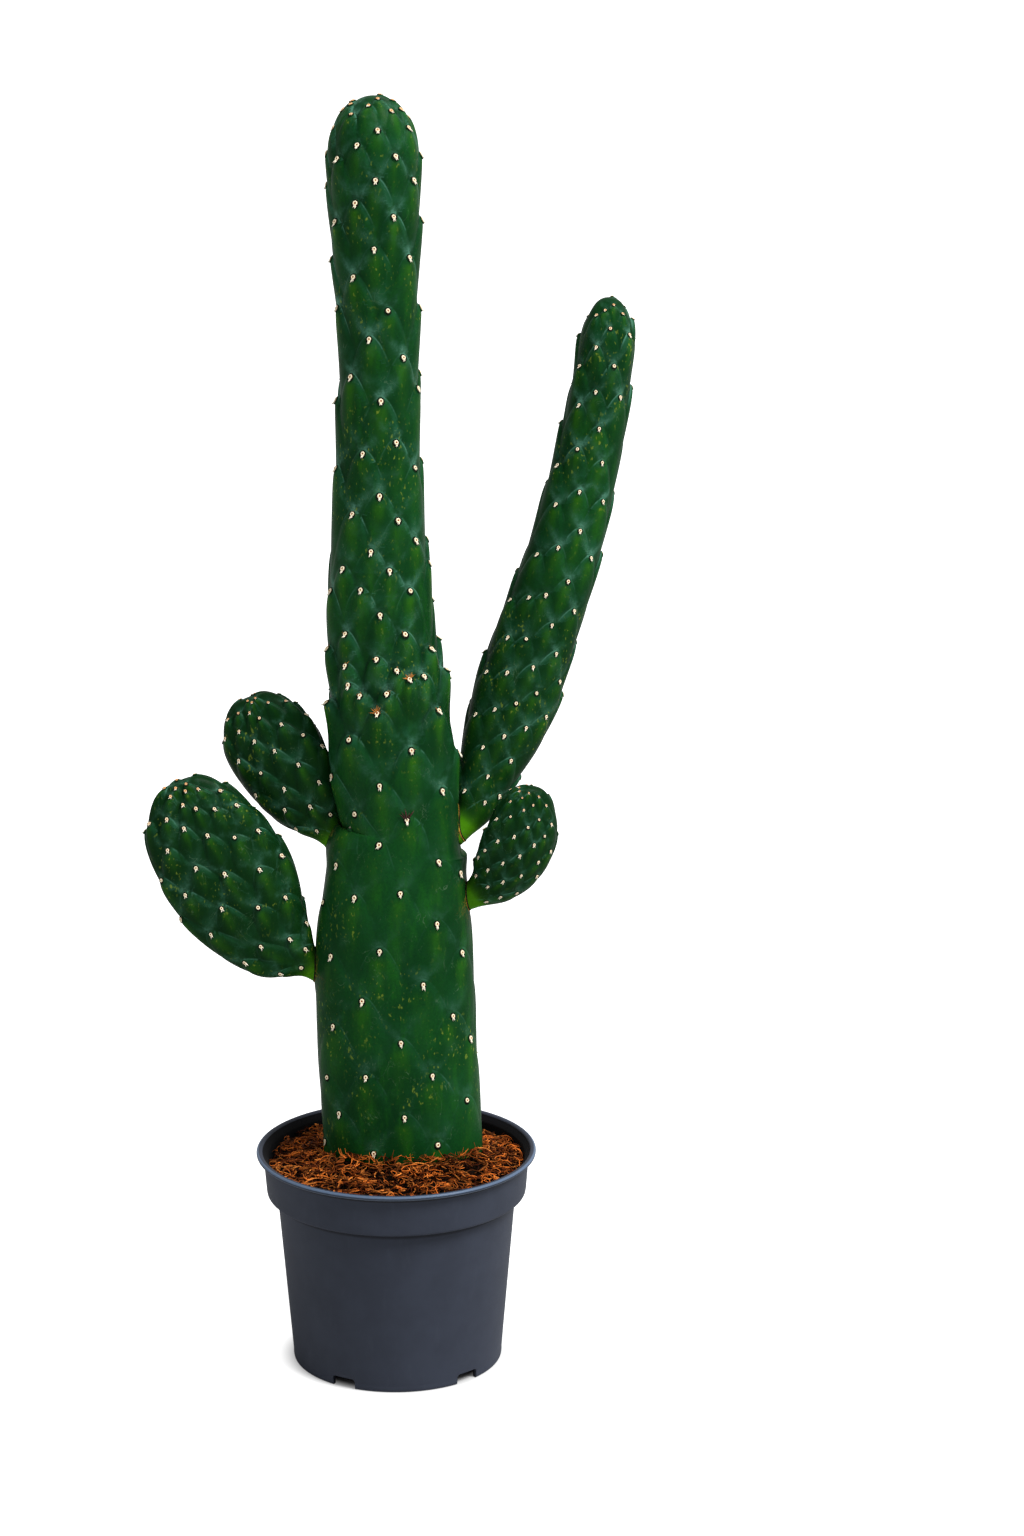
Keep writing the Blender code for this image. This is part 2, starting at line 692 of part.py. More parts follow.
def add_coir_strands(soil, stem, material):
    """Fuses the strands to the soil, and removes the loose ones."""
    rng = np.random.default_rng(COIR_SEED)
    strands = bpy.data.collections.new("coir_strands")
    bpy.context.scene.collection.children.link(strands)
    for index in range(COIR_STRANDS):
        strand = make_object(f"strand_{index}", strand_mesh(rng, stem), material)
        bpy.context.scene.collection.objects.unlink(strand)
        strands.objects.link(strand)
    union = soil.modifiers.new("strands", "BOOLEAN")
    union.operation = "UNION"
    union.solver = "EXACT"
    union.operand_type = "COLLECTION"
    union.collection = strands
    apply_modifiers(soil)
    for strand in list(strands.objects):
        bpy.data.objects.remove(strand, do_unlink=True)
    bpy.data.collections.remove(strands)


def build_substrate(stem, material):
    bm = bmesh.new()
    shares = [ring / SOIL_RINGS for ring in range(SOIL_RINGS + 1)]
    tops = [
        [bm.verts.new(soil_point(stem, i, share)) for i in range(SOIL_SIDES)]
        for share in shares
    ]
    hole_floor = TRUNK_FOOT - CONTACT_GAP
    hole = [bm.verts.new(hole_point(stem, i / SOIL_SIDES, hole_floor)) for i in range(SOIL_SIDES)]
    walls = []
    for radius, height in reversed(pot_inner_profile()[:4]):
        walls.append(ring_of(bm, radius - SOIL_GAP, height + CONTACT_GAP, SOIL_SIDES))
    rings = [hole] + tops + walls
    bridge_rings(bm, rings)
    close_ring(bm, hole, (stem.spine[0](0.0)[0], 0.0, hole_floor), upward=False)
    close_ring(bm, walls[-1], (0.0, 0.0, FLOOR_TOP + CONTACT_GAP), upward=True)
    bmesh.ops.recalc_face_normals(bm, faces=bm.faces)
    soil = make_object("substrate", bm, material)
    add_coir_strands(soil, stem, material)
    return soil


def main():
    clear_scene()
    plastic = make_material("slate_plastic", (0.035, 0.042, 0.055), 0.5)
    coir = make_material("coir", (0.28, 0.11, 0.035), 0.9)
    flesh = make_material("cactus_flesh", (0.016, 0.085, 0.03), 0.45)
    trunk_form = trunk_stem()
    side_forms = side_stems()
    joints = [form.spine[0](NECK_DEPTH) for form in side_forms]
    build_pot(plastic)
    build_substrate(trunk_form, coir)
    trunk = build_stem(trunk_form, flesh, joints)
    clearance = bpy.data.objects.new("trunk_clearance", trunk.data)
    bpy.context.scene.collection.objects.link(clearance)
    make_cutter(clearance)
    swell = clearance.modifiers.new("clearance", "DISPLACE")
    swell.direction = "NORMAL"
    swell.mid_level = 0.0
    swell.strength = 1.2 * CONTACT_GAP
    for form in side_forms:
        build_side_stem(form, flesh, clearance)


main()
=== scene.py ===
"""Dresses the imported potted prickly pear: mounded waxy stems, spine cushions, coir soil, grow pot."""

import math
from collections import namedtuple

import bmesh
import bpy
import numpy as np
from bpy.props import FloatProperty, FloatVectorProperty, IntProperty, PointerProperty
from bpy.types import Operator, Panel, PropertyGroup
from mathutils import Matrix, Vector


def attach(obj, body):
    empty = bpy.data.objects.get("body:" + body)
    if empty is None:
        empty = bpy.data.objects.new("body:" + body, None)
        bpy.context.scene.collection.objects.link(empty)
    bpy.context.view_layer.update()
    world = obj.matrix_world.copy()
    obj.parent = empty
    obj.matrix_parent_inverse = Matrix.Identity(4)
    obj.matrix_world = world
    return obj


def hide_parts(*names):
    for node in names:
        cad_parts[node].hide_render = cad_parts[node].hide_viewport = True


bl_info = {
    "name": "Potted prickly pear",
    "version": (1, 0, 0),
    "blender": (4, 5, 0),
    "location": "View3D > Sidebar > Prickly pear",
    "description": "Builds a potted prickly pear cactus round its packed solids",
    "category": "Add Mesh",
}

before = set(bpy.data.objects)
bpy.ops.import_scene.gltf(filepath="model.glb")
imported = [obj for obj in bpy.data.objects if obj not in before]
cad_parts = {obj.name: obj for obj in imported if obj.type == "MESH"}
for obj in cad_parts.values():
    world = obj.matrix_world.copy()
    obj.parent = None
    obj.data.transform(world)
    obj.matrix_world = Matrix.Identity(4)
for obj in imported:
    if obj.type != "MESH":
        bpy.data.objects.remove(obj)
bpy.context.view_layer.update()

MM = 0.001

# Stems, as in the solids, but that the trunk's mounds start 3 mm lower, behind the loose coir
TRUNK_FOOT = 44.0 * MM
TRUNK_TIP = 474.3 * MM
TRUNK_CAP = 24.0 * MM
BURIED_TO = 86.0 * MM
COLUMNS = 13
ARCH_DROP = 2.6
ARCH_POWER = 1.85
KNOB_DROP = 3.2
KNOB_POWER = 2.4
AREOLE_INSET = 0.12
STEP_WIDTH = 0.15
MOUND_REACH = 2.2
MOUND_WIDTH = 0.68
KNOB_REACH = 1.25
KNOB_WIDTH = 0.48
MEAN_MOUND = 0.55
COLUMN_DIVERGENCE = 5.0 / COLUMNS
GOLDEN_DIVERGENCE = 0.5 * (3.0 - math.sqrt(5.0))
JOINT_CLEARANCE = 6.5 * MM
NECK_DEPTH = 5.0 * MM
BARE_NECK = 5.0 * MM
PINCH_LENGTH = 8.0 * MM
CROWDED_SHARE = 0.42
CROWDED_LENGTH = 40.0 * MM
SKIN_AT_TIP = 0.25
TABLE_SIZE = 600
JOINT_SIDES = 64
LAYOUT_SEED = 17
SPINE_SEED = 5

# Points that the masks are worked out for at a time, which keeps the tables small
CHUNK = 20000

# The pot's inside, and the cuts in its foot and floor
POT_INSIDE = 47.9 * MM
PRESS_DEPTH = 0.8 * MM
FIRST_NOTCH = math.radians(-121.0)
NOTCH_RADIUS = 39.1 * MM
NOTCH_SIZE = (9.0 * MM, 9.5 * MM, 8.0 * MM)
NOTCH_ROUNDING = 1.2 * MM
DRAIN_PLACE = 26.0 * MM
DRAIN_RADIUS = 4.0 * MM

# The soil's body, which loose coir covers to SOIL_DEPTH, and the gap round the trunk in it
SOIL_EDGE = 77.5 * MM
SOIL_AT_STEM = 80.8 * MM
SOIL_FRONT_RISE = 4.6 * MM
SOIL_RADIUS = 47.75 * MM
SOIL_DEPTH = 2.8 * MM
SOIL_SIDES = 200
SOIL_RINGS = 44
SOIL_FOOT = 6.6 * MM
HOLE_FLOOR = 43.7 * MM
HOLE_GAP = 0.3 * MM
COIR_LEVEL = 82.0 * MM

# The camera, as the ellipses of the pot's rim give it, and where the key light comes from
CAMERA_PLACE = (0.0, -1.4509, 0.6182)
CAMERA_TURN = (math.radians(75.0), 0.0, math.radians(-1.715))
CAMERA_LENS = 96.13
KEY_WAY = (0.50, -0.35, 0.80)

# Areoles on the trunk's face, from the tip down: the column that each stands in and its height in mm
FACE_AREOLES = (
    (6.70, 472), (12.90, 472), (7.30, 471), (12.40, 469), (6.80, 469), (12.95, 466), (6.90, 463),
    (6.60, 454), (12.95, 453), (6.50, 443), (12.95, 430), (6.50, 417), (12.95, 399),
    (10.49, 473), (9.40, 471), (11.16, 469), (8.19, 468), (11.99, 463), (9.99, 463), (8.98, 458),
    (10.78, 454), (7.93, 453), (9.82, 446), (11.81, 445), (8.88, 438), (10.62, 433), (7.64, 431),
    (9.68, 422), (11.48, 418), (8.59, 412), (10.26, 400), (7.15, 400), (9.29, 390), (11.08, 383),
    (8.23, 376), (12.27, 371), (9.87, 368), (6.52, 366), (10.64, 353), (8.98, 349), (11.76, 343),
    (7.12, 342), (9.81, 334), (8.52, 327), (10.67, 325), (11.57, 317), (9.43, 314), (8.11, 307),
    (10.23, 307), (12.71, 307), (8.98, 300), (11.14, 299), (7.36, 298), (9.79, 291), (8.28, 284),
    (10.78, 283), (7.20, 278), (11.91, 275), (9.53, 275), (8.23, 273), (10.26, 270), (8.32, 266),
    (11.29, 266), (10.70, 266), (12.72, 265), (8.76, 262), (9.77, 262), (7.15, 258), (9.35, 255),
    (11.71, 253), (8.24, 245), (10.52, 240), (12.98, 233), (7.14, 231), (9.19, 228), (11.60, 222),
    (8.00, 217), (10.07, 214), (7.61, 206), (8.98, 203), (11.26, 199), (7.54, 195), (12.19, 192),
    (9.90, 187), (8.34, 184), (6.99, 179), (11.14, 175), (9.27, 165), (12.01, 162), (7.67, 161),
    (10.65, 152), (8.72, 146), (11.57, 138), (7.75, 135), (9.90, 130), (12.25, 127), (8.75, 117),
    (10.83, 116), (7.41, 115), (11.92, 103), (7.79, 102), (9.87, 101), (10.85, 89), (6.99, 88),
    (8.83, 87),
)

# The same for the side stems: hundredths of the way round, and the distance along the stem in mm
SIDE_AREOLES = {
    "lower_left_pad": (
        (55, 96), (81, 95), (69, 95), (77, 93), (65, 93), (85, 92), (72, 89), (92, 88), (78, 86),
        (63, 86), (55, 86), (85, 83), (92, 80), (69, 81), (61, 76), (77, 75), (85, 69), (55, 67),
        (92, 66), (67, 66), (75, 59), (60, 59), (86, 53), (94, 52), (53, 51), (67, 48), (79, 41),
        (59, 41), (89, 38), (69, 28), (59, 27), (82, 22), (94, 20), (60, 16), (85, 14), (69, 11),
    ),
    "upper_left_pad": (
        (73, 66), (82, 66), (77, 65), (87, 63), (65, 63), (73, 62), (58, 62), (95, 61), (78, 59),
        (65, 57), (57, 56), (86, 54), (98, 53), (71, 52), (61, 48), (91, 46), (78, 46), (67, 41),
        (96, 38), (84, 37), (59, 35), (72, 32), (88, 27), (65, 25), (78, 21), (60, 17), (87, 14),
        (69, 12),
    ),
    "small_right_pad": (
        (55, 57), (71, 56), (60, 56), (46, 55), (83, 55), (66, 54), (59, 52), (77, 52), (88, 52),
        (47, 51), (70, 50), (63, 47), (82, 47), (56, 45), (90, 45), (75, 44), (86, 41), (68, 40),
        (81, 38), (48, 37), (61, 36), (92, 36), (75, 33), (87, 32), (57, 29), (68, 28), (91, 27),
        (82, 26), (55, 24), (63, 22), (75, 21), (89, 19), (70, 15), (84, 15), (58, 14), (84, 10),
    ),
    "right_arm": (
        (80, 208), (72, 206), (87, 205), (66, 204), (77, 200), (90, 198), (70, 193), (81, 187),
        (61, 185), (73, 177), (87, 176), (65, 171), (78, 164), (69, 155), (83, 152), (60, 147),
        (75, 140), (88, 138), (65, 133), (80, 126), (72, 118), (89, 117), (63, 113), (81, 107),
        (73, 100), (66, 97), (88, 97), (57, 93), (80, 90), (71, 82), (63, 80), (86, 80), (78, 73),
        (92, 70), (68, 68), (59, 65), (83, 64), (76, 58), (91, 56), (68, 53), (84, 50), (60, 48),
        (76, 44), (68, 37), (84, 36), (50, 29), (76, 27), (89, 21), (64, 19), (81, 17),
    ),
}

# Areoles with a brush of rust bristles, and the one whose old spines stand up
TUFTS = ((10.70, 266), (9.35, 255))
OLD_AREOLE = (10.07, 214)

Stem = namedtuple(
    "Stem", "name spine across through turn grid skin relief phase divergence bare_below dimple width"
)
Skin = namedtuple("Skin", "length along perimeter meridian area")
Areoles = namedtuple("Areoles", "around along spacing knob waxy")


# Curves and meshes

def curve_through(knots, values):
    """A smooth curve through the values, whose slope at a knot comes from its neighbours."""
    knots = np.asarray(knots, dtype=float)
    values = np.asarray(values, dtype=float)
    slopes = np.gradient(values, knots, axis=0)

    def at(position):
        position = np.clip(np.asarray(position, dtype=float), knots[0], knots[-1])
        index = np.clip(np.searchsorted(knots, position, side="right") - 1, 0, len(knots) - 2)
        span = knots[index + 1] - knots[index]
        step = (position - knots[index]) / span
        if values.ndim > 1:
            span = span[..., None]
            step = step[..., None]
        start = (2 * step**3 - 3 * step**2 + 1) * values[index]
        leave = (step**3 - 2 * step**2 + step) * span * slopes[index]
        end = (3 * step**2 - 2 * step**3) * values[index + 1]
        arrive = (step**3 - step**2) * span * slopes[index + 1]
        return start + leave + end + arrive

    return at


def smooth_step(value):
    value = np.clip(value, 0.0, 1.0)
    return value * value * (3.0 - 2.0 * value)


def spot(x, y=0.0):
    """1 in the middle, and fading out round it."""
    return np.exp(-(x**2) - y**2)


def unit(vectors):
    """The vectors, each made one long."""
    return vectors / np.maximum(np.linalg.norm(vectors, axis=-1, keepdims=True), 1e-12)


def run_lengths(points):
    """Distance along a line of points, at each of them."""
    return np.concatenate(([0.0], np.cumsum(np.linalg.norm(np.diff(points, axis=0), axis=1))))


def oval(centre, across, through, angle, height):
    """Points at angles round an oval."""
    x = centre[0] + across * np.cos(angle)
    y = centre[1] + through * np.sin(angle)
    return np.stack(np.broadcast_arrays(x, y, height), axis=-1)


def full_turn(sides):
    """Even angles once round."""
    return math.tau * np.arange(sides) / sides


def make_mesh(name, verts, faces):
    mesh = bpy.data.meshes.new(name)
    mesh.from_pydata(verts, [], faces)
    mesh.update()
    return mesh


def mesh_from(bm, name):
    """The finished mesh of a bmesh."""
    mesh = bpy.data.meshes.new(name)
    bm.to_mesh(mesh)
    bm.free()
    return mesh


def turn_outward(mesh):
    """Turns a closed mesh's faces outwards, and gives the mesh."""
    bm = bmesh.new()
    bm.from_mesh(mesh)
    bmesh.ops.recalc_face_normals(bm, faces=bm.faces)
    bm.to_mesh(mesh)
    bm.free()
    return mesh


def make_piece(name, mesh, material):
    mesh.materials.clear()
    mesh.materials.append(material)
    mesh.shade_smooth()
    piece = bpy.data.objects.new(name, mesh)
    bpy.context.scene.collection.objects.link(piece)
    return piece


def tube_grid(rings, sides):
    """Quads between rings of equal count, facing away from the rings' axis."""
    ring = np.arange(sides)
    start = np.arange(rings - 1)[:, None] * sides
    low = (start + ring).ravel()
    near = (start + (ring + 1) % sides).ravel()
    return np.stack((low, near, near + sides, low + sides), axis=1).tolist()


def capped_tube(name, points, foot, tip):
    """A closed mesh through rings of points, with a fan of triangles at both of its ends."""
    rings, sides = points.shape[:2]
    faces = tube_grid(rings, sides)
    last = (rings - 1) * sides
    for i in range(sides):
        j = (i + 1) % sides
        faces.append((j, i, rings * sides))
        faces.append((last + i, last + j, rings * sides + 1))
    return make_mesh(name, points.reshape(-1, 3).tolist() + [list(foot), list(tip)], faces)


def pointed_tube(name, rings, tip, field, values):
    """A closed mesh through rings of points to a tip, with one value for each ring and the tip."""
    count, sides = rings.shape[:2]
    last = (count - 1) * sides
    faces = tube_grid(count, sides) + [list(range(sides))[::-1]]
    faces += [(last + i, last + (i + 1) % sides, count * sides) for i in range(sides)]
    mesh = make_mesh(name, rings.reshape(-1, 3).tolist() + [tip], faces)
    add_attribute(mesh, field, np.append(np.repeat(values[:-1], sides), values[-1]))
    return mesh


def add_attribute(mesh, name, values):
    """Stores a number or a vector on each point of a mesh."""
    kind, field = ("FLOAT_VECTOR", "vector") if np.ndim(values) == 2 else ("FLOAT", "value")
    layer = mesh.attributes.new(name, kind, "POINT")
    layer.data.foreach_set(field, np.asarray(values, dtype=np.float32).ravel())


def points_mesh(name, places, **attributes):
    """A mesh of loose points whose attributes say how each instance is turned and sized."""
    mesh = make_mesh(name, np.asarray(places).tolist(), [])
    for key, values in attributes.items():
        add_attribute(mesh, key, values)
    return mesh


def finish_piece(piece, node):
    """Makes the piece ride with the plant, in place of a node of the solids."""
    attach(piece, "root")
    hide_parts(node)


# Node networks, for materials and for geometry

class Wire:
    """An output socket. Arithmetic on it adds Math nodes."""

    def __init__(self, network, socket):
        self.network = network
        self.socket = socket

    def math(self, operation, *values):
        return self.network.node("ShaderNodeMath", {"operation": operation}, values)

    def __add__(self, other):
        return self.math("ADD", self, other)

    def __radd__(self, other):
        return self.math("ADD", other, self)

    def __sub__(self, other):
        return self.math("SUBTRACT", self, other)

    def __rsub__(self, other):
        return self.math("SUBTRACT", other, self)

    def __mul__(self, other):
        return self.math("MULTIPLY", self, other)

    def __rmul__(self, other):
        return self.math("MULTIPLY", other, self)

    def __pow__(self, other):
        return self.math("POWER", self, other)

    def __abs__(self):
        return self.math("ABSOLUTE", self)

    def ramp(self, low, high):
        """0 below low and 1 above high, with a smooth step between them."""
        return self.network.node(
            "ShaderNodeMapRange", {"interpolation_type": "SMOOTHSTEP"},
            {"Value": self, "From Min": low, "From Max": high}, "Result",
        )

    def band(self, low, above, high, below):
        """1 between two heights, fading in from low to above and out from high to below."""
        return self.ramp(low, above) * (1.0 - self.ramp(high, below))


class Network:
    """A node tree, built a node at a time."""

    def __init__(self, tree):
        self.tree = tree

    def plug(self, socket, value):
        if isinstance(value, Wire):
            self.tree.links.new(value.socket, socket)
        else:
            socket.default_value = value

    def node(self, kind, settings=None, inputs=(), output=0):
        """Adds a node, sets its settings, then its sockets from values or wires, and gives one output."""
        made = self.tree.nodes.new(kind)
        for key, value in (settings or {}).items():
            setattr(made, key, value)
        for key, value in inputs.items() if isinstance(inputs, dict) else enumerate(inputs):
            self.plug(made.inputs[key], value)
        return Wire(self, made.outputs[output])


class Finish(Network):
    """A material's network, which ends in its Principled shader."""

    def __init__(self, name):
        self.material = bpy.data.materials.new(name)
        self.material.use_nodes = True
        super().__init__(self.material.node_tree)
        self.shader = self.material.node_tree.nodes["Principled BSDF"]
        self.place = self.node("ShaderNodeTexCoord", output="Object")

    def attribute(self, name):
        return self.node("ShaderNodeAttribute", {"attribute_name": name}, output="Fac")

    def noise(self, scale, detail=2.0, roughness=0.5, distortion=0.0, place=None):
        return self.node(
            "ShaderNodeTexNoise", None,
            {"Vector": place or self.place, "Scale": scale, "Detail": detail, "Roughness": roughness,
             "Distortion": distortion}, "Fac",
        )

    def squeezed(self, x, y, z):
        """Object coordinates, scaled along the axes."""
        return self.node("ShaderNodeMapping", None, {"Vector": self.place, "Scale": (x, y, z)})

    def mix(self, share, *colours):
        """A colour between two colours."""
        first, second = (value if isinstance(value, Wire) else (*value, 1.0) for value in colours)
        return self.node("ShaderNodeMix", {"data_type": "RGBA"}, {0: share, 6: first, 7: second}, 2)

    def paint(self, base, *coats):
        """The base under coats, each a mask and the colour that it lays on."""
        for mask, colour in coats:
            base = self.mix(mask, base, colour)
        return base

    def set(self, **values):
        """Sets the shader's sockets, and gives the material."""
        for key, value in values.items():
            self.plug(self.shader.inputs[key.replace("_", " ")], value)
        return self.material

    def close(self, colour, roughness, specular, height, strength, depth):
        """Sets the shader, with a bump of the height as deep as depth, and gives the material."""
        normal = self.node(
            "ShaderNodeBump", None, {"Height": height, "Strength": strength, "Distance": depth * MM}
        )
        return self.set(
            Base_Color=colour, Roughness=roughness, Specular_IOR_Level=specular, Normal=normal
        )


class Growth(Network):
    """A Geometry Nodes tree with named inputs, which ends in Realize Instances and Set Material."""

    def __init__(self, name, material):
        super().__init__(bpy.data.node_groups.new(name, "GeometryNodeTree"))
        self.values = {}
        for way in ("INPUT", "OUTPUT"):
            self.tree.interface.new_socket("Geometry", in_out=way, socket_type="NodeSocketGeometry")
        self.start = self.tree.nodes.new("NodeGroupInput")
        self.end = self.tree.nodes.new("NodeGroupOutput")
        self.geometry = Wire(self, self.start.outputs["Geometry"])
        self.material = material
        self.paint = self.input("Material", "NodeSocketMaterial", material)

    def input(self, name, kind, value):
        item = self.tree.interface.new_socket(name, in_out="INPUT", socket_type=kind)
        self.values[item.identifier] = value
        return Wire(self, self.start.outputs[name])

    def named(self, name, kind="FLOAT"):
        return self.node("GeometryNodeInputNamedAttribute", {"data_type": kind}, {"Name": name})

    def random(self, low, high, seed):
        """A number or a vector between two, for each point."""
        kind, first, output = ("FLOAT", 2, 1) if isinstance(low, float) else ("FLOAT_VECTOR", 0, 0)
        return self.node(
            "FunctionNodeRandomValue", {"data_type": kind}, {first: low, first + 1: high, "Seed": seed},
            output,
        )

    def grow(self, instances, mesh, name):
        """Ends the tree with the instances, runs it on a mesh, and makes a plain piece of the result."""
        real = self.node("GeometryNodeRealizeInstances", None, {"Geometry": instances})
        dressed = self.node(
            "GeometryNodeSetMaterial", None, {"Geometry": real, "Material": self.paint}
        )
        self.plug(self.end.inputs["Geometry"], dressed)
        carrier = bpy.data.objects.new(name, mesh)
        bpy.context.scene.collection.objects.link(carrier)
        modifier = carrier.modifiers.new(name, "NODES")
        modifier.node_group = self.tree
        for identifier, value in self.values.items():
            modifier[identifier] = value
        graph = bpy.context.evaluated_depsgraph_get()
        grown = bpy.data.meshes.new_from_object(carrier.evaluated_get(graph))
        bpy.data.objects.remove(carrier, do_unlink=True)
        if not grown.polygons:
            raise RuntimeError(f"{name} grew nothing")
        return make_piece(name, grown, self.material)


def instances_on(mesh, name, template, material, seed, spread):
    """A piece with the template on each point of the mesh, its Z along facing, its Y along upward."""
    unit_object = bpy.data.objects.new(template.name, template)
    growth = Growth(name, material)
    shape = growth.input("Template", "NodeSocketObject", unit_object)
    chance = growth.input("Seed", "NodeSocketInt", seed)
    stand = growth.node(
        "FunctionNodeAlignRotationToVector", {"axis": "Z"},
        {"Vector": growth.named("facing", "FLOAT_VECTOR")},
    )
    turned = growth.node(
        "FunctionNodeAlignRotationToVector", {"axis": "Y", "pivot_axis": "Z"},
        {"Rotation": stand, "Vector": growth.named("upward", "FLOAT_VECTOR")},
    )
    size = growth.named("size")
    vary = growth.random(1.0 - spread, 1.0 + spread, chance)
    wide = size * growth.named("thick") * vary
    scale = growth.node("ShaderNodeCombineXYZ", None, (wide, wide, size * vary))
    shape = growth.node("GeometryNodeObjectInfo", None, {"Object": shape}, "Geometry")
    placed = growth.node(
        "GeometryNodeInstanceOnPoints", None,
        {"Points": growth.geometry, "Instance": shape, "Rotation": turned, "Scale": scale},
    )
    piece = growth.grow(placed, mesh, name)
    bpy.data.objects.remove(unit_object, do_unlink=True)
    return piece


# The form of a stem

def grown_law(neck, widest, end, widest_at, cap, roundness, pinch, length):
    """Half size along a stem: it swells from its neck, tapers, and closes in a rounded tip."""

    def at(along):
        along = np.asarray(along, dtype=float)
        swell = np.sin(0.5 * math.pi * np.clip(along / widest_at, 0.0, 1.0))
        swell = swell * (1.0 - pinch * spot((along - NECK_DEPTH) / PINCH_LENGTH))
        taper = np.clip((along - widest_at) / (length - widest_at), 0.0, 1.0)
        size = neck + (widest - neck) * swell + (end - widest) * taper
        tip = np.clip((along - (length - cap)) / cap, 0.0, 1.0)
        return size * np.sqrt(np.maximum(1.0 - tip**roundness, 0.0))

    return at


def spine_curve(points):
    """A spine through the points, by distance along it, and its length."""
    knots = run_lengths(points)
    fine = curve_through(knots, points)(np.linspace(0.0, knots[-1], TABLE_SIZE))
    lengths = run_lengths(fine)

    def at(along):
        return np.stack([np.interp(along, lengths, fine[:, k]) for k in range(3)], axis=-1)

    return at, float(lengths[-1])


def measure_skin(stem):
    """Tables of size, perimeter, length along the skin and skin area, from the neck to the tip."""
    length = stem.spine[1]
    along = length * np.sin(np.linspace(0.0, 0.5 * math.pi, TABLE_SIZE))
    across = stem.across(along)
    through = stem.through(along)
    total = across + through
    lean = ((across - through) / np.maximum(total, 1e-9)) ** 2
    perimeter = math.pi * total * (1.0 + 3.0 * lean / (10.0 + np.sqrt(4.0 - 3.0 * lean)))
    mean = 0.5 * total
    slope = np.sqrt(np.diff(along) ** 2 + np.diff(mean) ** 2)
    meridian = np.concatenate(([0.0], np.cumsum(slope)))
    strips = slope * 0.5 * (perimeter[1:] + perimeter[:-1])
    area = np.concatenate((np.cumsum(strips[::-1])[::-1], [0.0]))
    return Skin(length, along, perimeter, meridian, area)


def section_angle(around, across, through):
    """Angle round the section for a share of its perimeter, even for a flat stem."""
    flatness = (across**2 - through**2) / np.maximum(across**2 + through**2, 1e-12)
    return math.tau * around + 0.25 * flatness * np.sin(2.0 * math.tau * around)


def skin_points(stem, around, along):
    """Points of the smooth skin at shares of the perimeter and distances along the spine."""
    curve, length = stem.spine
    step = 0.5 * MM
    tangent = unit(curve(np.minimum(along + step, length)) - curve(np.maximum(along - step, 0.0)))
    side = unit(np.cross((0.0, 1.0, 0.0), tangent))
    back = np.cross(tangent, side)
    turned_side = math.cos(stem.turn) * side + math.sin(stem.turn) * back
    turned_back = math.cos(stem.turn) * back - math.sin(stem.turn) * side
    across = stem.across(along)
    through = stem.through(along)
    angle = section_angle(around, across, through)
    points = curve(along) + turned_side * (across * np.cos(angle))[..., None]
    points += turned_back * (through * np.sin(angle))[..., None]
    hollow = stem.dimple * spot(across / (4.0 * MM)) * (along > 0.5 * length)
    return points - tangent * hollow[..., None]


def skin_frame(stem, around, along):
    """Outward normals of the smooth skin."""
    turn = 1e-3
    step = 0.15 * MM
    sideways = skin_points(stem, around + turn, along) - skin_points(stem, around - turn, along)
    high = skin_points(stem, around, np.minimum(along + step, stem.spine[1] * 0.9999))
    low = skin_points(stem, around, np.maximum(along - step, 0.0))
    return unit(np.cross(sideways, unit(high - low)))


def lay_out_areoles(stem, skin, joints):
    """Shares of the perimeter and distances along the spine, in one spiral from the tip down."""
    around = []
    along = []
    area = 0.5 * float(stem.skin(skin.length))
    limit = float(np.interp(stem.bare_below, skin.along, skin.area))
    count = 0
    while area < limit:
        place = float(np.interp(area, skin.area[::-1], skin.along[::-1]))
        share = (stem.phase + count * stem.divergence) % 1.0
        point = skin_points(stem, np.array([share]), np.array([place]))[0]
        if all(np.linalg.norm(point - joint) > JOINT_CLEARANCE for joint in joints):
            around.append(share)
            along.append(place)
        area += float(stem.skin(place))
        count += 1
    return np.array(around), np.array(along)


def faced_areoles(stem, skin, joints, face_around, face_along):
    """The areoles that the face shows, and the rule's own ones all round the back."""
    face_points = skin_points(stem, face_around, face_along)
    around, along = lay_out_areoles(stem, skin, joints)
    points = skin_points(stem, around, along)
    near = np.linalg.norm(points[:, None, :] - face_points[None, :, :], axis=-1).min(axis=1)
    behind = (around > 0.01) & (around < 0.49) | (along < face_along.min())
    kept = behind & (near > 0.62 * np.sqrt(stem.skin(along)))
    around = np.concatenate((face_around, around[kept]))
    along = np.concatenate((face_along, along[kept]))
    return around, along


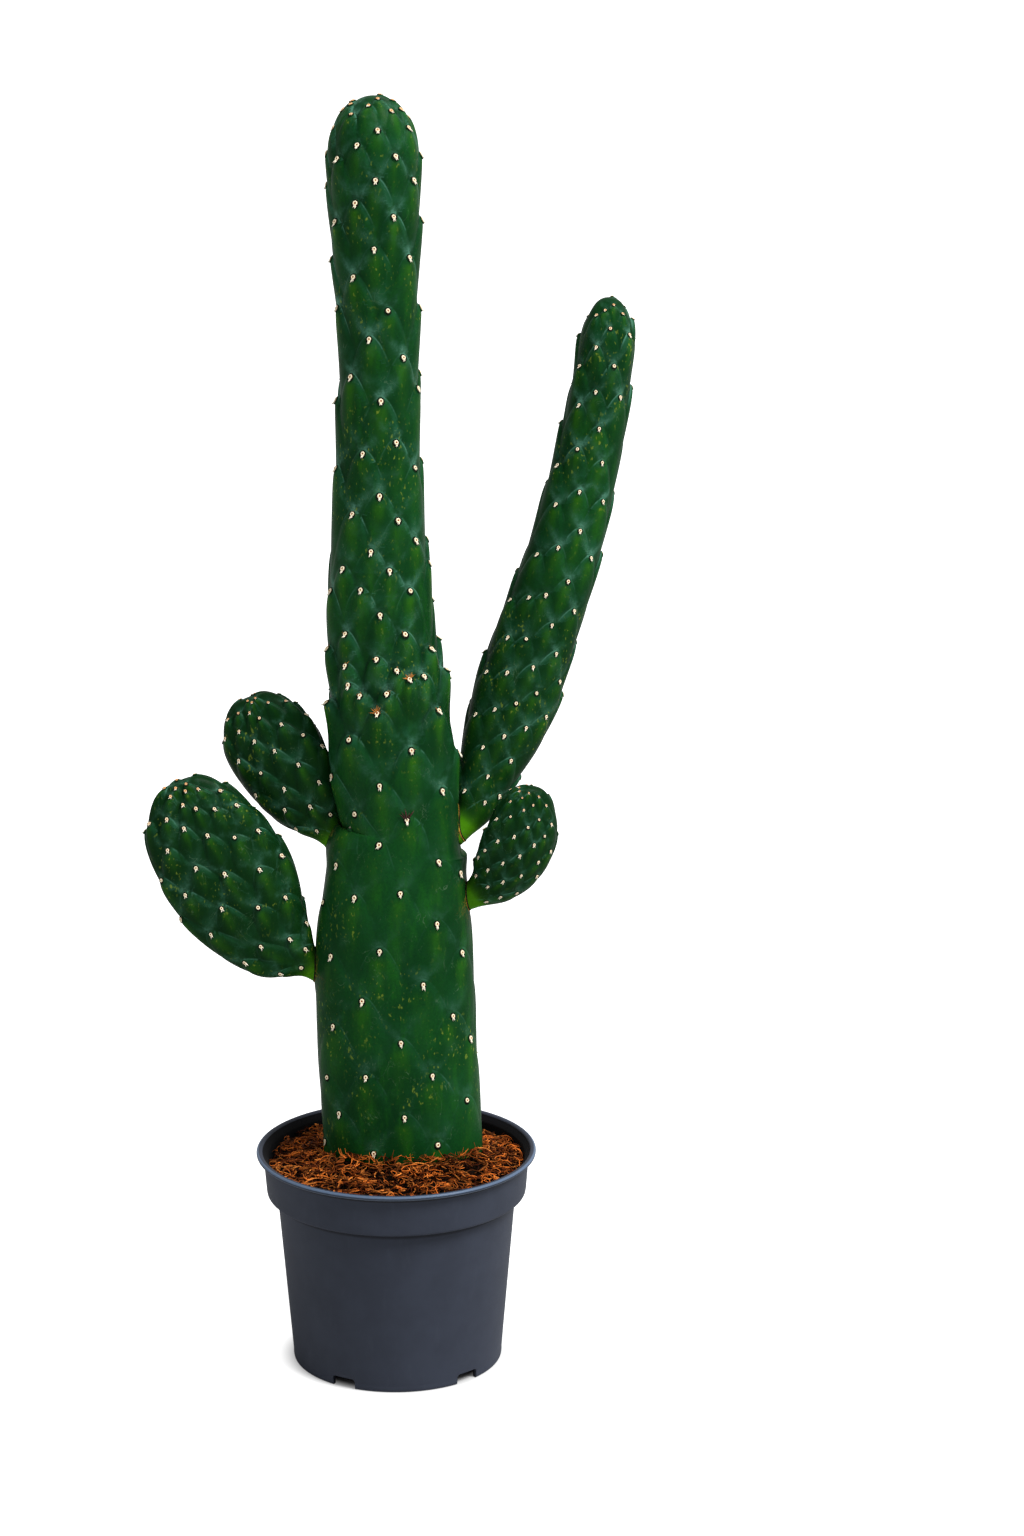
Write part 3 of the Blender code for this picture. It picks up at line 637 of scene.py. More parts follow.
def shape_skin(stem, skin, areoles, around, along):
    """Height of the mounds, and masks of the skin's markings, in a dictionary.

    A mound is a shield with the areole at its top. It steps down steeply above its arched upper
    edge, is rounded across, and fades out downwards, under the next shields. The edge mask is the
    distance inside the nearest arched edge in millimetres, and rim is how well that edge shows:
    more on the side towards the key light, it scales the painted highlights along the edge and the
    painted shadow just outside it. The pale masks above each areole carry painted sheen as well.
    """
    perimeter = np.interp(along, skin.along, skin.perimeter)
    meridian = np.interp(along, skin.along, skin.meridian)
    areole_meridian = np.interp(areoles.along, skin.along, skin.meridian)
    reach = MOUND_REACH + (KNOB_REACH - MOUND_REACH) * areoles.knob
    width = MOUND_WIDTH + (KNOB_WIDTH - MOUND_WIDTH) * areoles.knob
    drop = ARCH_DROP + (KNOB_DROP - ARCH_DROP) * areoles.knob
    power = ARCH_POWER + (KNOB_POWER - ARCH_POWER) * areoles.knob
    lit = -1.0 if stem.name in ("right_arm", "small_right_pad") else 1.0
    masks = {key: np.zeros(len(around)) for key in ("height", "edge", "rim", "bloom", "streak", "haze")}
    for start in range(0, len(around), CHUNK):
        part = slice(start, start + CHUNK)
        turn = around[part, None] - areoles.around[None, :]
        turn -= np.round(turn)
        x = turn * perimeter[part, None] / areoles.spacing
        y = (areole_meridian[None, :] - meridian[part, None]) / areoles.spacing
        side = np.abs(x)
        inside = y + AREOLE_INSET - drop * side**power
        step = 1.0 - np.exp(-np.maximum(inside, 0.0) / STEP_WIDTH)
        fade = np.clip(1.0 - y / reach, 0.0, 1.0)
        shield = step * fade * spot(x / width)
        nub = spot(x / 0.16, (y - 0.04) / 0.20)
        masks["height"][part] = (shield + 0.12 * nub).max(axis=1)
        slope = drop * power * side ** (power - 1.0)
        away = inside / np.sqrt(1.0 + slope**2)
        first = (np.abs(away) + 9.0 * (side > 0.64)).argmin(axis=1)
        rows = np.arange(len(first))
        masks["edge"][part] = away[rows, first] * areoles.spacing[first] / MM
        # Rim: how strongly the painted highlights and shadow along the edge are laid on, more on the side
        # towards the key light
        seen = smooth_step((0.54 - side[rows, first]) / 0.34) * areoles.waxy[first]
        seen *= 0.25 + 0.75 * smooth_step((lit * x[rows, first] + 0.08) / 0.16)
        masks["rim"][part] = seen
        # Pale frost and a soft patch above each areole: a waxy coat, laid on as painted sheen
        rise = np.maximum(-y, 0.0)
        arms = spot((side - 0.72 * rise) / (0.045 + 0.24 * rise))
        arms *= np.exp(-rise / 0.28) * (y < 0.04) * (rise > 0.03) * areoles.waxy
        star = spot(x / 0.14, (y + 0.15) / 0.13) * areoles.waxy
        masks["bloom"][part] = np.maximum(arms, 0.9 * star).max(axis=1)
        cloud = spot(x / 0.34, (y + 0.34) / 0.30) * areoles.waxy
        masks["haze"][part] = cloud.max(axis=1)
        below = spot((x + 0.02) / 0.15) * smooth_step((y - 0.07) / 0.20)
        below *= (0.35 + 0.65 * areoles.waxy) * (1.0 + 0.5 * areoles.knob)
        masks["streak"][part] = (below * np.exp(-np.maximum(y - 0.20, 0.0) / 0.50)).max(axis=1)
    return masks


def depth_below(lift, shape):
    """How far each point of a grid lies below the mean of the points round it, in millimetres."""
    mean = lift.reshape(shape)
    for axis, reach in ((0, 2), (1, 3)):
        mean = sum(np.roll(mean, k, axis) for k in range(-reach, reach + 1)) / (2 * reach + 1)
    return (mean.ravel() - lift) / MM


def mound_lift(stem, height, points, along, joints):
    """How far the mounds stand off the smooth skin. They flatten towards a joint on the trunk."""
    lift = stem.relief(along) * (height - MEAN_MOUND)
    for joint in joints:
        distance = np.linalg.norm(points - joint, axis=-1)
        lift *= smooth_step((distance - 3.5 * MM) / (7.0 * MM))
    return lift


def build_flesh(stem, areoles, skin, joints, material):
    """The stem's skin as one fine closed mesh, with the masks that its finish reads."""
    sides, rows = stem.grid
    levels = np.linspace(0.0, skin.meridian[-1], rows + 1)[:-1]
    around = np.tile(np.arange(sides) / sides, rows)
    along = np.repeat(np.interp(levels, skin.meridian, skin.along), sides)
    masks = shape_skin(stem, skin, areoles, around, along)
    smooth = skin_points(stem, around, along)
    lift = mound_lift(stem, masks["height"], smooth, along, joints)
    points = smooth + skin_frame(stem, around, along) * lift[:, None]
    tip = points[-sides:].mean(axis=0)
    mesh = capped_tube(stem.name, points.reshape(rows, sides, 3), stem.spine[0](0.0), tip)
    neck = np.exp(-np.maximum(along - NECK_DEPTH - 2.0 * MM, 0.0) / (3.6 * MM))
    scar = np.zeros(len(along))
    # Dusk lays painted shade: a darker green over the pads, and over the arm's foot next to the trunk
    dusk = np.ones(len(along))
    if stem.name == "trunk":
        neck *= 0.0
        dusk *= 0.0
        for joint in joints:
            distance = np.linalg.norm(points - joint, axis=-1)
            scar = np.maximum(scar, np.exp(-np.maximum(distance - 4.0 * MM, 0.0) / (2.2 * MM)))
    elif stem.name == "right_arm":
        dusk = 0.7 * (1.0 - smooth_step((along - 50.0 * MM) / (80.0 * MM)))
    masks["crease"] = depth_below(lift, (rows, sides))
    masks["youth"] = smooth_step((along - (skin.length - 45.0 * MM)) / (45.0 * MM))
    masks.update(neck=neck, scar=scar, dusk=dusk)
    for name, values in masks.items():
        add_attribute(mesh, name, np.concatenate((values, (values[0], values[-1]))))
    return make_piece(f"{stem.name}_skin", mesh, material)


def areole_seats(stem, areoles, skin, joints):
    """Where the areoles sit on the mounded skin, which way they face, and how large they are."""
    near = []
    for step in (0.0, -0.9 * MM, 0.9 * MM):
        along = np.clip(areoles.along + step, 0.0, skin.length - 0.2 * MM)
        height = shape_skin(stem, skin, areoles, areoles.around, along)["height"]
        smooth = skin_points(stem, areoles.around, along)
        lift = mound_lift(stem, height, smooth, along, joints)
        near.append(smooth + skin_frame(stem, areoles.around, along) * lift[:, None])
    places, below, above = near
    normal = skin_frame(stem, areoles.around, areoles.along)
    upward = unit(above - below)
    facing = unit(normal - (normal * upward).sum(axis=1, keepdims=True) * upward)
    tip = np.clip(1.0 - (skin.length - areoles.along) / (15.0 * MM), 0.0, 1.0)
    size = stem.width * (0.52 + 0.34 * smooth_step(areoles.spacing / (8.0 * MM))) * (1.0 - 0.2 * tip)
    return places, facing, upward, size, tip


# Joints between the stems

def trunk_section(trunk, height, gap=0.0):
    """The trunk's centre, half width and half depth at a height, a gap outside its skin."""
    along = (height - TRUNK_FOOT) * trunk.spine[1] / (TRUNK_TIP - TRUNK_FOOT)
    return trunk.spine[0](along), float(trunk.across(along)) + gap, float(trunk.through(along)) + gap


def outside_trunk(trunk, point):
    """Above 1 where a point is outside the trunk's smooth skin."""
    centre, across, through = trunk_section(trunk, point[2])
    return math.hypot((point[0] - centre[0]) / across, (point[1] - centre[1]) / through)


def joint_ring(trunk, stem, sides):
    """The closed line where a stem's neck leaves the trunk's skin, and the way out along the neck."""
    steps = np.linspace(0.0, NECK_DEPTH + 9.0 * MM, 120)
    ring = []
    for i in range(sides):
        line = skin_points(stem, np.full(len(steps), i / sides), steps)
        reach = np.array([outside_trunk(trunk, point) for point in line])
        crossing = max(int(np.argmax(reach > 1.0)), 1) if (reach > 1.0).any() else len(steps) - 1
        before, after = reach[crossing - 1], reach[crossing]
        share = 0.0 if after <= before else min(max((1.0 - before) / (after - before), 0.0), 1.0)
        ring.append(line[crossing - 1] * (1.0 - share) + line[crossing] * share)
    curve = stem.spine[0]
    return np.array(ring), unit(curve(NECK_DEPTH + 2.0 * MM) - curve(NECK_DEPTH))


def ring_tube(name, ring, radius, sides=6):
    """A closed tube of uneven thickness along a closed line."""
    run = unit(np.roll(ring, -1, axis=0) - np.roll(ring, 1, axis=0))
    out = ring - ring.mean(axis=0)
    out = unit(out - (out * run).sum(axis=1, keepdims=True) * run)
    over = np.cross(run, out)
    angles = full_turn(sides)
    count = len(ring)
    rough = 1.0 + 0.25 * np.sin(np.arange(count) * 2.1) * np.sin(np.arange(count) * 0.7)
    around = out[:, None] * np.cos(angles)[None, :, None] + over[:, None] * np.sin(angles)[None, :, None]
    points = ring[:, None] + around * (radius * rough)[:, None, None]
    faces = []
    for i in range(count):
        for j in range(sides):
            low, high, k = i * sides, (i + 1) % count * sides, (j + 1) % sides
            faces.append((low + j, low + k, high + k, high + j))
    return turn_outward(make_mesh(name, points.reshape(-1, 3).tolist(), faces))


# Stems of this plant

def trunk_stem():
    # Height, centre to the right, half width and half depth of the trunk at the places where it turns
    stations = np.array((
        (TRUNK_FOOT / MM, 2.5, 28.0, 18.5),
        (BURIED_TO / MM, 2.5, 30.0, 20.0),
        (120.0, 0.6, 30.1, 19.8),
        (165.0, -0.1, 29.0, 19.2),
        (190.0, 0.7, 26.2, 18.0),
        (200.5, 1.2, 25.4, 16.8),
        (206.5, 2.4, 22.0, 16.2),
        (216.0, 1.6, 22.6, 16.2),
        (238.0, -0.8, 24.3, 17.0),
        (258.0, -2.1, 23.2, 17.2),
        (281.0, -4.3, 20.4, 16.6),
        (312.0, -4.8, 18.1, 15.8),
        (345.0, -4.5, 15.7, 14.6),
        (392.0, -4.2, 14.8, 14.0),
        (436.0, -5.1, 16.5, 15.6),
        (TRUNK_TIP / MM, -5.5, 16.3, 15.6),
    )) * MM
    heights = stations[:, 0]
    spine_points = np.stack((stations[:, 1], np.zeros(len(stations)), heights), axis=1)
    spine = spine_curve(spine_points)
    reach = spine[1]
    share = reach / (TRUNK_TIP - TRUNK_FOOT)
    knots = (heights - TRUNK_FOOT) * share
    buried = knots[1]
    tip_start = reach - TRUNK_CAP

    def law(column):
        above = curve_through(knots[1:], stations[1:, column])

        def at(along):
            along = np.asarray(along, dtype=float)
            below = np.interp(along, knots[:2], stations[:2, column])
            size = np.where(along < buried, below, above(along))
            tip = np.clip((along - tip_start) / TRUNK_CAP, 0.0, 1.0)
            return size * np.sqrt(np.maximum(1.0 - tip**2, 0.0))

        return at

    # Skin for each areole, in square millimetres, by height
    skin = curve_through(
        np.array((TRUNK_FOOT / MM, 150.0, 215.0, 245.0, 262.0, 280.0, 310.0, 400.0, 445.0, TRUNK_TIP / MM)),
        np.array((360.0, 360.0, 320.0, 250.0, 150.0, 140.0, 205.0, 205.0, 165.0, 70.0)),
    )

    def skin_share(along):
        return skin((np.asarray(along) / share + TRUNK_FOOT) / MM) * MM * MM

    def relief(along):
        height = np.asarray(along) / share + TRUNK_FOOT
        crowded = 2.5 * spot((height - 260.0 * MM) / (22.0 * MM))
        young = 0.7 * smooth_step((height - 240.0 * MM) / (80.0 * MM))
        seen = smooth_step((height - BURIED_TO + 4.0 * MM) / (10.0 * MM))
        tip = smooth_step((TRUNK_TIP - height) / (8.0 * MM))
        return 1.3 * MM * (0.9 + crowded + young) * seen * (0.4 + 0.6 * tip)

    bare = (BURIED_TO + 3.0 * MM - TRUNK_FOOT) * share
    return Stem(
        "trunk", spine, law(2), law(3), 0.0, (224, 420), skin_share, relief, 1.5 / COLUMNS,
        COLUMN_DIVERGENCE, bare, 0.0, 1.0 * MM,
    )


def side_stem(
    name, spine_points, across, through, widest_at, cap, roundness, pinch, turn, grid, skin, relief, phase,
    dimple, width,
):
    """A stem that grew from the trunk's side. Sizes are half widths at the neck, middle and end."""
    points = np.array(spine_points) * MM
    inward = points[0] - points[1]
    inward /= np.linalg.norm(inward)
    points = np.vstack((points[0] + inward * NECK_DEPTH, points))
    spine = spine_curve(points)
    length = spine[1]
    laws = []
    for neck, widest, end in (across, through):
        law = grown_law(
            neck * MM, widest * MM, end * MM, widest_at * MM + NECK_DEPTH, cap * MM, roundness, pinch,
            length,
        )
        laws.append(law)

    def skin_share(along):
        crowded = min(CROWDED_SHARE * length, CROWDED_LENGTH)
        room = smooth_step((length - np.asarray(along)) / crowded)
        return skin * (SKIN_AT_TIP + (1.0 - SKIN_AT_TIP) * room) * MM * MM

    def height(along):
        risen = smooth_step((np.asarray(along) - NECK_DEPTH - 2.0 * MM) / (9.0 * MM))
        tip = smooth_step((length - np.asarray(along)) / (8.0 * MM))
        return relief * MM * risen * (0.4 + 0.6 * tip)

    return Stem(
        name, spine, laws[0], laws[1], turn, grid, skin_share, height, phase, GOLDEN_DIVERGENCE,
        NECK_DEPTH + BARE_NECK, dimple * MM, width * MM,
    )


def side_stems():
    """The three pads and the long arm. Spines give x, y and z in millimetres from the joint out."""
    lower_left_pad = side_stem(
        "lower_left_pad",
        ((-29.3, 0.0, 152.8), (-44.6, -2.0, 165.1), (-59.4, -4.0, 187.6), (-71.8, -6.0, 211.0),
         (-78.4, -8.0, 228.6)),
        across=(3.8, 23.8, 23.8), through=(3.2, 8.6, 8.6), widest_at=50.0, cap=41.0, roundness=2.3,
        pinch=0.75,
        turn=math.radians(6.0), grid=(192, 170), skin=135.0, relief=2.0, phase=0.3, dimple=1.4,
        width=0.80,
    )
    upper_left_pad = side_stem(
        "upper_left_pad",
        ((-21.6, 2.0, 202.0), (-33.0, 4.5, 218.0), (-45.3, 6.5, 238.4), (-52.6, 8.0, 256.2)),
        across=(3.8, 18.4, 18.4), through=(3.2, 8.2, 8.2), widest_at=39.0, cap=25.0, roundness=2.3,
        pinch=0.65,
        turn=math.radians(-8.0), grid=(160, 130), skin=75.0, relief=1.6, phase=0.1, dimple=1.2,
        width=0.74,
    )
    small_right_pad = side_stem(
        "small_right_pad",
        ((28.3, -2.0, 180.7), (36.7, -4.0, 187.2), (42.7, -6.5, 196.0), (46.6, -8.5, 206.0),
         (48.5, -10.0, 216.4), (50.2, -11.0, 226.3)),
        across=(3.2, 13.9, 13.9), through=(3.0, 7.0, 7.0), widest_at=27.0, cap=24.0, roundness=2.0,
        pinch=0.35,
        turn=math.radians(10.0), grid=(144, 120), skin=46.0, relief=1.0, phase=0.45, dimple=0.8,
        width=0.62,
    )
    right_arm = side_stem(
        "right_arm",
        ((24.6, 1.5, 206.2), (29.0, 4.4, 211.6), (32.8, 7.6, 221.2), (40.2, 11.0, 239.5),
         (50.9, 12.0, 270.8), (60.6, 12.0, 300.7), (68.5, 12.0, 330.3), (74.5, 11.5, 359.7),
         (78.1, 11.0, 388.7), (79.0, 11.0, 401.7)),
        across=(3.8, 16.2, 10.0), through=(3.2, 11.0, 9.4), widest_at=58.0, cap=19.0, roundness=2.0,
        pinch=0.35,
        turn=math.radians(-5.0), grid=(144, 320), skin=128.0, relief=1.8, phase=0.2, dimple=0.6,
        width=0.72,
    )
    return lower_left_pad, upper_left_pad, small_right_pad, right_arm


# Finishes

def flesh_finish(colours):
    """Waxy green skin: a yellow-green streak under each areole, flecks and scars, and pale
    blue-green on the waxy crests, partly painted sheen, with painted shade in the hollows.
    """
    finish = Finish("waxy_cactus_skin")
    height, edge, rim, crease, bloom, streak, neck, youth, scar, dusk, haze = (
        finish.attribute(name) for name in (
            "height", "edge", "rim", "crease", "bloom", "streak", "neck", "youth", "scar", "dusk", "haze",
        )
    )
    broad = finish.noise(26.0, 3.0)
    middle = finish.noise(130.0, 4.0, 0.6)
    fine = finish.noise(1100.0, 3.0, 0.6)
    long = finish.noise(190.0, 3.0, 0.6, place=finish.squeezed(1.0, 1.0, 0.28))
    short = finish.squeezed(1.0, 1.0, 0.6)
    # Painted light along each arched edge, stronger on the lit side: a pale sheen band and a thin highlight
    # line just inside it
    inside = edge.ramp(-0.10, 0.30)
    shoulder_sheen = inside * (1.0 - edge.ramp(0.4, 3.4)) * rim * (0.45 + 0.55 * middle.ramp(0.35, 0.62))
    line = inside * (1.0 - edge.ramp(0.25, 0.80)) * rim * middle.ramp(0.38, 0.58)
    # The pale frost above each areole: a waxy coat, brightened as painted sheen
    frosted_sheen = bloom * (0.15 + 0.85 * middle.ramp(0.40, 0.60)) * (0.55 + 0.45 * fine.ramp(0.40, 0.58))
    dashes = finish.noise(900.0, 1.5, place=short)
    patches = finish.noise(45.0, 2.0).ramp(0.50, 0.62)
    lines = finish.noise(95.0, 3.0, 0.6, 1.8, place=short)
    scratch = (1.0 - abs(lines - 0.5).ramp(0.0, 0.008)) * middle.ramp(0.50, 0.66)
    body = finish.mix(broad.ramp(0.35, 0.65), colours.deep_green, colours.leaf_green)
    body = finish.paint(
        body,
        (long.ramp(0.48, 0.72) * 0.55, colours.young_green),
        # Painted shade: darker green in the low ground between the mounds, and over the pads and the arm's
        # foot
        ((1.0 - height.ramp(0.15, 0.55)) * 0.35, colours.shade_and_mottle_green),
        (dusk * 0.80, colours.shade_green),
        # A fine darker mottle, in the painted shade's green
        (fine.ramp(0.40, 0.66) * 0.30, colours.shade_and_mottle_green),
        (streak * long.ramp(0.28, 0.56) * 0.90, colours.streak_green),
        # Painted sheen in the blue-green: a soft pale patch above each areole, the pale band along each lit
        # edge, and the crests
        (haze * middle.ramp(0.38, 0.62) * 0.65, colours.wax),
        (shoulder_sheen * 0.85, colours.wax),
        ((0.0 - crease).ramp(0.02, 0.55) * 0.45, colours.wax),
        # Painted shadow just outside each arched edge, and painted shade in the creases
        (edge.band(-2.6, -0.3, -0.30, 0.05) * rim * 0.55, colours.shade_and_mottle_green),
        (crease.ramp(0.04, 0.60) * 0.85, colours.shade_and_mottle_green),
        # Painted highlight: the thin pale line along each lit edge, and the pale frost above each areole
        (line * 0.70, colours.bloom),
        (frosted_sheen, colours.bloom),
        (neck ** 2.0 * 0.90, colours.neck_green),
        (dashes.ramp(0.61, 0.74) * (patches * 0.6 + streak * 0.6), colours.fleck),
        (scratch * 0.40, colours.scratch),
        (scar * fine.ramp(0.48, 0.60) * middle.ramp(0.44, 0.60) * 0.85, colours.cork),
    )
    roughness = 0.36 + shoulder_sheen * 0.14 + fine * 0.12 - youth * 0.03
    return finish.close(body, roughness, 0.04, fine * 0.35 + middle * 0.65, 0.40, 0.4)


def cushion_finish():
    """Felted areole: a cream ring round a rusty middle. Young ones at the tips are rusty all over.
    The flange round it is near-black, painted shadow, and then the skin's dark green at its edge.
    """
    finish = Finish("areole_felt")
    radius = finish.attribute("radius")
    felt = finish.noise(2600.0, 3.0, 0.7)
    colour = finish.paint(
        finish.mix(felt, (1.0, 0.85, 0.50), (1.0, 0.97, 0.78)),
        ((1.0 - radius.ramp(0.30, 0.50)) * 0.95, (0.42, 0.095, 0.014)),
        ((1.0 - radius.ramp(0.08, 0.30)) * 0.75, (0.09, 0.014, 0.005)),
        (finish.attribute("rust") * 0.80, (0.72, 0.28, 0.04)),
        (radius.ramp(0.86, 0.95) * 0.60, (0.42, 0.20, 0.06)),
        # Painted shadow: near-black on the flange round the cushion, fading to the skin's dark green
        (radius.ramp(0.93, 1.00), (0.0012, 0.0035, 0.0012)),
        (radius.ramp(1.46, 1.64), (0.004, 0.045, 0.010)),
    )
    return finish.close(colour, 0.9, 0.15, felt, 0.6, 0.15)


def spine_finish():
    """Horny spines, white to straw. The dark attribute browns old ones, and warm makes bristles rusty."""
    finish = Finish("horny_spine")
    grain = finish.noise(1500.0)
    colour = finish.paint(
        finish.mix(grain, (0.98, 0.86, 0.62), (1.0, 0.96, 0.82)),
        (finish.attribute("length").ramp(0.75, 1.0) * 0.25, (0.70, 0.40, 0.18)),
        (finish.attribute("dark"), (0.05, 0.020, 0.012)),
        (finish.attribute("warm"), finish.mix(grain, (0.50, 0.13, 0.015), (0.80, 0.34, 0.06))),
    )
    return finish.set(Base_Color=colour, Roughness=0.5, Specular_IOR_Level=0.3)


def coir_finish(name, dark, light, bias):
    """Coir: each strand has its own brown, with darker and paler stretches. Bias favours the dark."""
    finish = Finish(name)
    grain = finish.noise(900.0, 3.0, 0.65)
    colour = finish.paint(
        finish.mix(finish.attribute("tint") ** bias, dark, light),
        (finish.noise(150.0).ramp(0.45, 0.62) * 0.55, (0.014, 0.0025, 0.0004)),
        (grain.ramp(0.58, 0.8) * 0.15, (0.95, 0.37, 0.09)),
    )
    return finish.close(colour, 0.65, 0.08, grain, 0.4, 0.15)


def soil_finish():
    """The crumbly body of the soil between the strands, near-black as painted shade in the gaps."""
    finish = Finish("coir_crumb")
    crumbs = finish.node(
        "ShaderNodeTexVoronoi", {"feature": "F1"},
        {"Vector": finish.place, "Scale": 700.0, "Randomness": 1.0}, "Distance",
    )
    grain = finish.noise(500.0, 4.0, 0.7)
    colour = finish.paint(
        finish.mix(grain.ramp(0.45, 0.80), (0.0015, 0.0005, 0.0002), (0.03, 0.006, 0.001)),
        (crumbs.ramp(0.1, 0.5) * 0.5, (0.01, 0.004, 0.001)),
    )
    return finish.close(colour, 0.95, 0.1, grain - crumbs, 0.9, 0.8)


def pot_finish(size):
    """Matte moulded plastic with a fine grain. A painted highlight on the bluish lip, painted shade
    and a painted highlight down its outer face, painted shadow under the lip and the collar, and
    a near-black inner wall for painted shade.
    """
    finish = Finish("slate_pot_plastic")
    grain = finish.noise(2300.0, 3.0, 0.65)
    cloud = finish.noise(70.0, 3.0, 0.55)
    flow = finish.noise(260.0, 3.0, 0.6, place=finish.squeezed(1.0, 1.0, 0.25))
    inside = finish.attribute("inside")
    height = finish.node("ShaderNodeSeparateXYZ", None, (finish.place,), "Z")
    radius = finish.node(
        "ShaderNodeVectorMath", {"operation": "LENGTH"}, (finish.squeezed(1.0, 1.0, 0.0),), "Value",
    )

    def below_lip(*depths):
        return height.band(*(size.lip_top - depth * MM for depth in depths))

    lip = height.ramp(size.lip_top - 1.3 * MM, size.lip_top - 0.4 * MM)
    edge = lip * radius.ramp(size.lip_radius - 1.1 * MM, size.lip_radius - 0.5 * MM)
    outer = radius.ramp(size.lip_radius - 0.9 * MM, size.lip_radius - 0.5 * MM)
    dark, light = (tuple(shade * part for part in size.colour) for shade in (0.93, 1.07))
    base = finish.paint(
        finish.mix(cloud.ramp(0.3, 0.7), dark, light),
        (flow.ramp(0.55, 0.8) * 0.15, (0.060, 0.070, 0.095)),
        # Painted highlight: a bluish reflection along the lip's top outer edge
        (edge * 0.75, (0.125, 0.185, 0.290)),
        # Down the lip's outer face: painted shade in a groove, then a painted highlight on a bead below it
        (below_lip(1.15, 1.00, 0.75, 0.60) * outer * 0.70, (0.018, 0.023, 0.034)),
        (below_lip(1.60, 1.50, 1.25, 1.15) * outer * 0.60, (0.130, 0.160, 0.215)),
        # Painted shadow under the lip, and under the collar's ledge
        (below_lip(3.3, 2.9, 2.0, 1.5) * 0.75, (0.004, 0.004, 0.005)),
        (height.band(62.4 * MM, 63.6 * MM, 64.9 * MM, 65.3 * MM) * 0.7, (0.005, 0.006, 0.009)),
        # Painted shade: the inner wall made near-black
        (inside * 0.96, (0.0015, 0.0015, 0.0020)),
        (grain.ramp(0.66, 0.76) * cloud.ramp(0.45, 0.6) * 0.18, (0.12, 0.115, 0.11)),
    )
    roughness = 0.50 + 0.14 * grain - edge * 0.22 + inside * 0.35
    return finish.close(base, roughness, 0.16, grain * 0.6 + flow * 0.4, 0.22, 0.12)


def seam_finish(name, light, dark):
    """Corky tissue round a joint."""
    finish = Finish(name)
    grain = finish.noise(900.0, 3.0, 0.6)
    return finish.close(finish.mix(grain.ramp(0.35, 0.65), dark, light), 0.8, 0.2, grain, 0.6, 0.2)


# Areoles and spines

def cushion_mesh():
    """A low oval felt cushion, one unit in radius, with a raised rim round a dimple. A wide flange
    sinks from it into the skin, to carry the painted shadow round the cushion.
    """
    profile = (
        (1.20, -1.20), (1.68, -0.22), (1.50, 0.00), (0.96, 0.05), (0.84, 0.36), (0.66, 0.46), (0.46, 0.36),
        (0.26, 0.18),
    )
    rings = []
    for radius, height in profile:
        # The flange hangs a little below the cushion, so its painted shadow is widest underneath
        hang = 0.16 if radius > 1.0 else 0.0
        rings.append(oval((0.0, -hang), radius, 1.12 * radius, full_turn(10), height))
    values = [1.7] + [radius for radius, height in profile[1:]] + [0.0]
    return pointed_tube("areole_cushion", np.array(rings), (0.0, 0.0, 0.20), "radius", values)


def spine_mesh():
    """A slightly curved four-sided spine, one unit long along +Z."""
    rings = [
        oval((0.0, bend), radius, radius, full_turn(4), height)
        for height, radius, bend in ((-0.2, 0.16, 0.0), (0.15, 0.17, 0.01), (0.6, 0.12, 0.04))
    ]
    return pointed_tube("spine_unit", np.array(rings), (0.0, 0.1, 1.0), "length", (-0.2, 0.15, 0.6, 1.0))


def nearest_areole(areoles, length, place):
    """Index of the areole that stands nearest to a column and a height on the trunk."""
    height = TRUNK_FOOT + areoles.along * (TRUNK_TIP - TRUNK_FOOT) / length
    off = np.hypot((areoles.around * COLUMNS - place[0]) * 8.0 * MM, height - place[1] * MM)
    return int(off.argmin())


def spines_of(seats, rng, splays, knob, old, tufts):
    """Spines as columns of root, way, length, thickness, dark and warm: two hang from each areole.

    Knobs have a few rust bristles as well, and each tuft has a brush of them. The old areole has
    dark spines that stand up.
    """
    places, facing, upward, size, tip = seats
    sideways = np.cross(upward, facing)
    rows = []

    def add(k, shift, way, reach, thick, dark=0.0, warm=0.0):
        root = places[k] + (upward[k] * shift[1] + sideways[k] * shift[0]) * size[k]
        way = way[0] * sideways[k] + way[1] * upward[k] + way[2] * facing[k]
        rows.append((root, unit(way), reach, thick, dark, warm))

    for k in range(len(places)):
        if rng.random() < 0.12 and k != old:
            continue
        for side in (-1.0, 1.0):
            splay = side * rng.uniform(*splays)
            reach = rng.uniform(1.5 * MM, 2.2 * MM) * size[k] / MM
            add(k, (0.16 * side, -0.62), (splay, -1.0, rng.uniform(0.25, 0.6)), reach, 1.15)
    if old is not None:
        for side in (-0.9, -0.45, 0.0, 0.5, 0.95):
            reach = rng.uniform(3.0, 4.4) * MM
            add(old, (0.4 * side, 0.3), (side, 1.0, rng.uniform(0.3, 0.7)), reach, 0.55, dark=1.0)
    for k in range(len(places)):
        count, share = (18, 1.0) if k in tufts else (round(4.5 * knob[k] * rng.random()), 0.6)
        for step in range(count):
            side = rng.uniform(-1.0, 1.0)
            rise = rng.uniform(-0.35, 1.0)
            way = (side, rise, rng.uniform(0.25, 0.9))
            reach = rng.uniform(1.2, 2.8) * MM * share
            add(k, (0.8 * side, 0.4 + 0.6 * rise), way, reach, 0.34, warm=1.0)
    return [np.array(column) for column in zip(*rows)]


# Settings

def colour_setting(name, description, default):
    return FloatVectorProperty(
        name=name, description=description, subtype="COLOR", size=3, min=0.0, max=1.0, default=default
    )


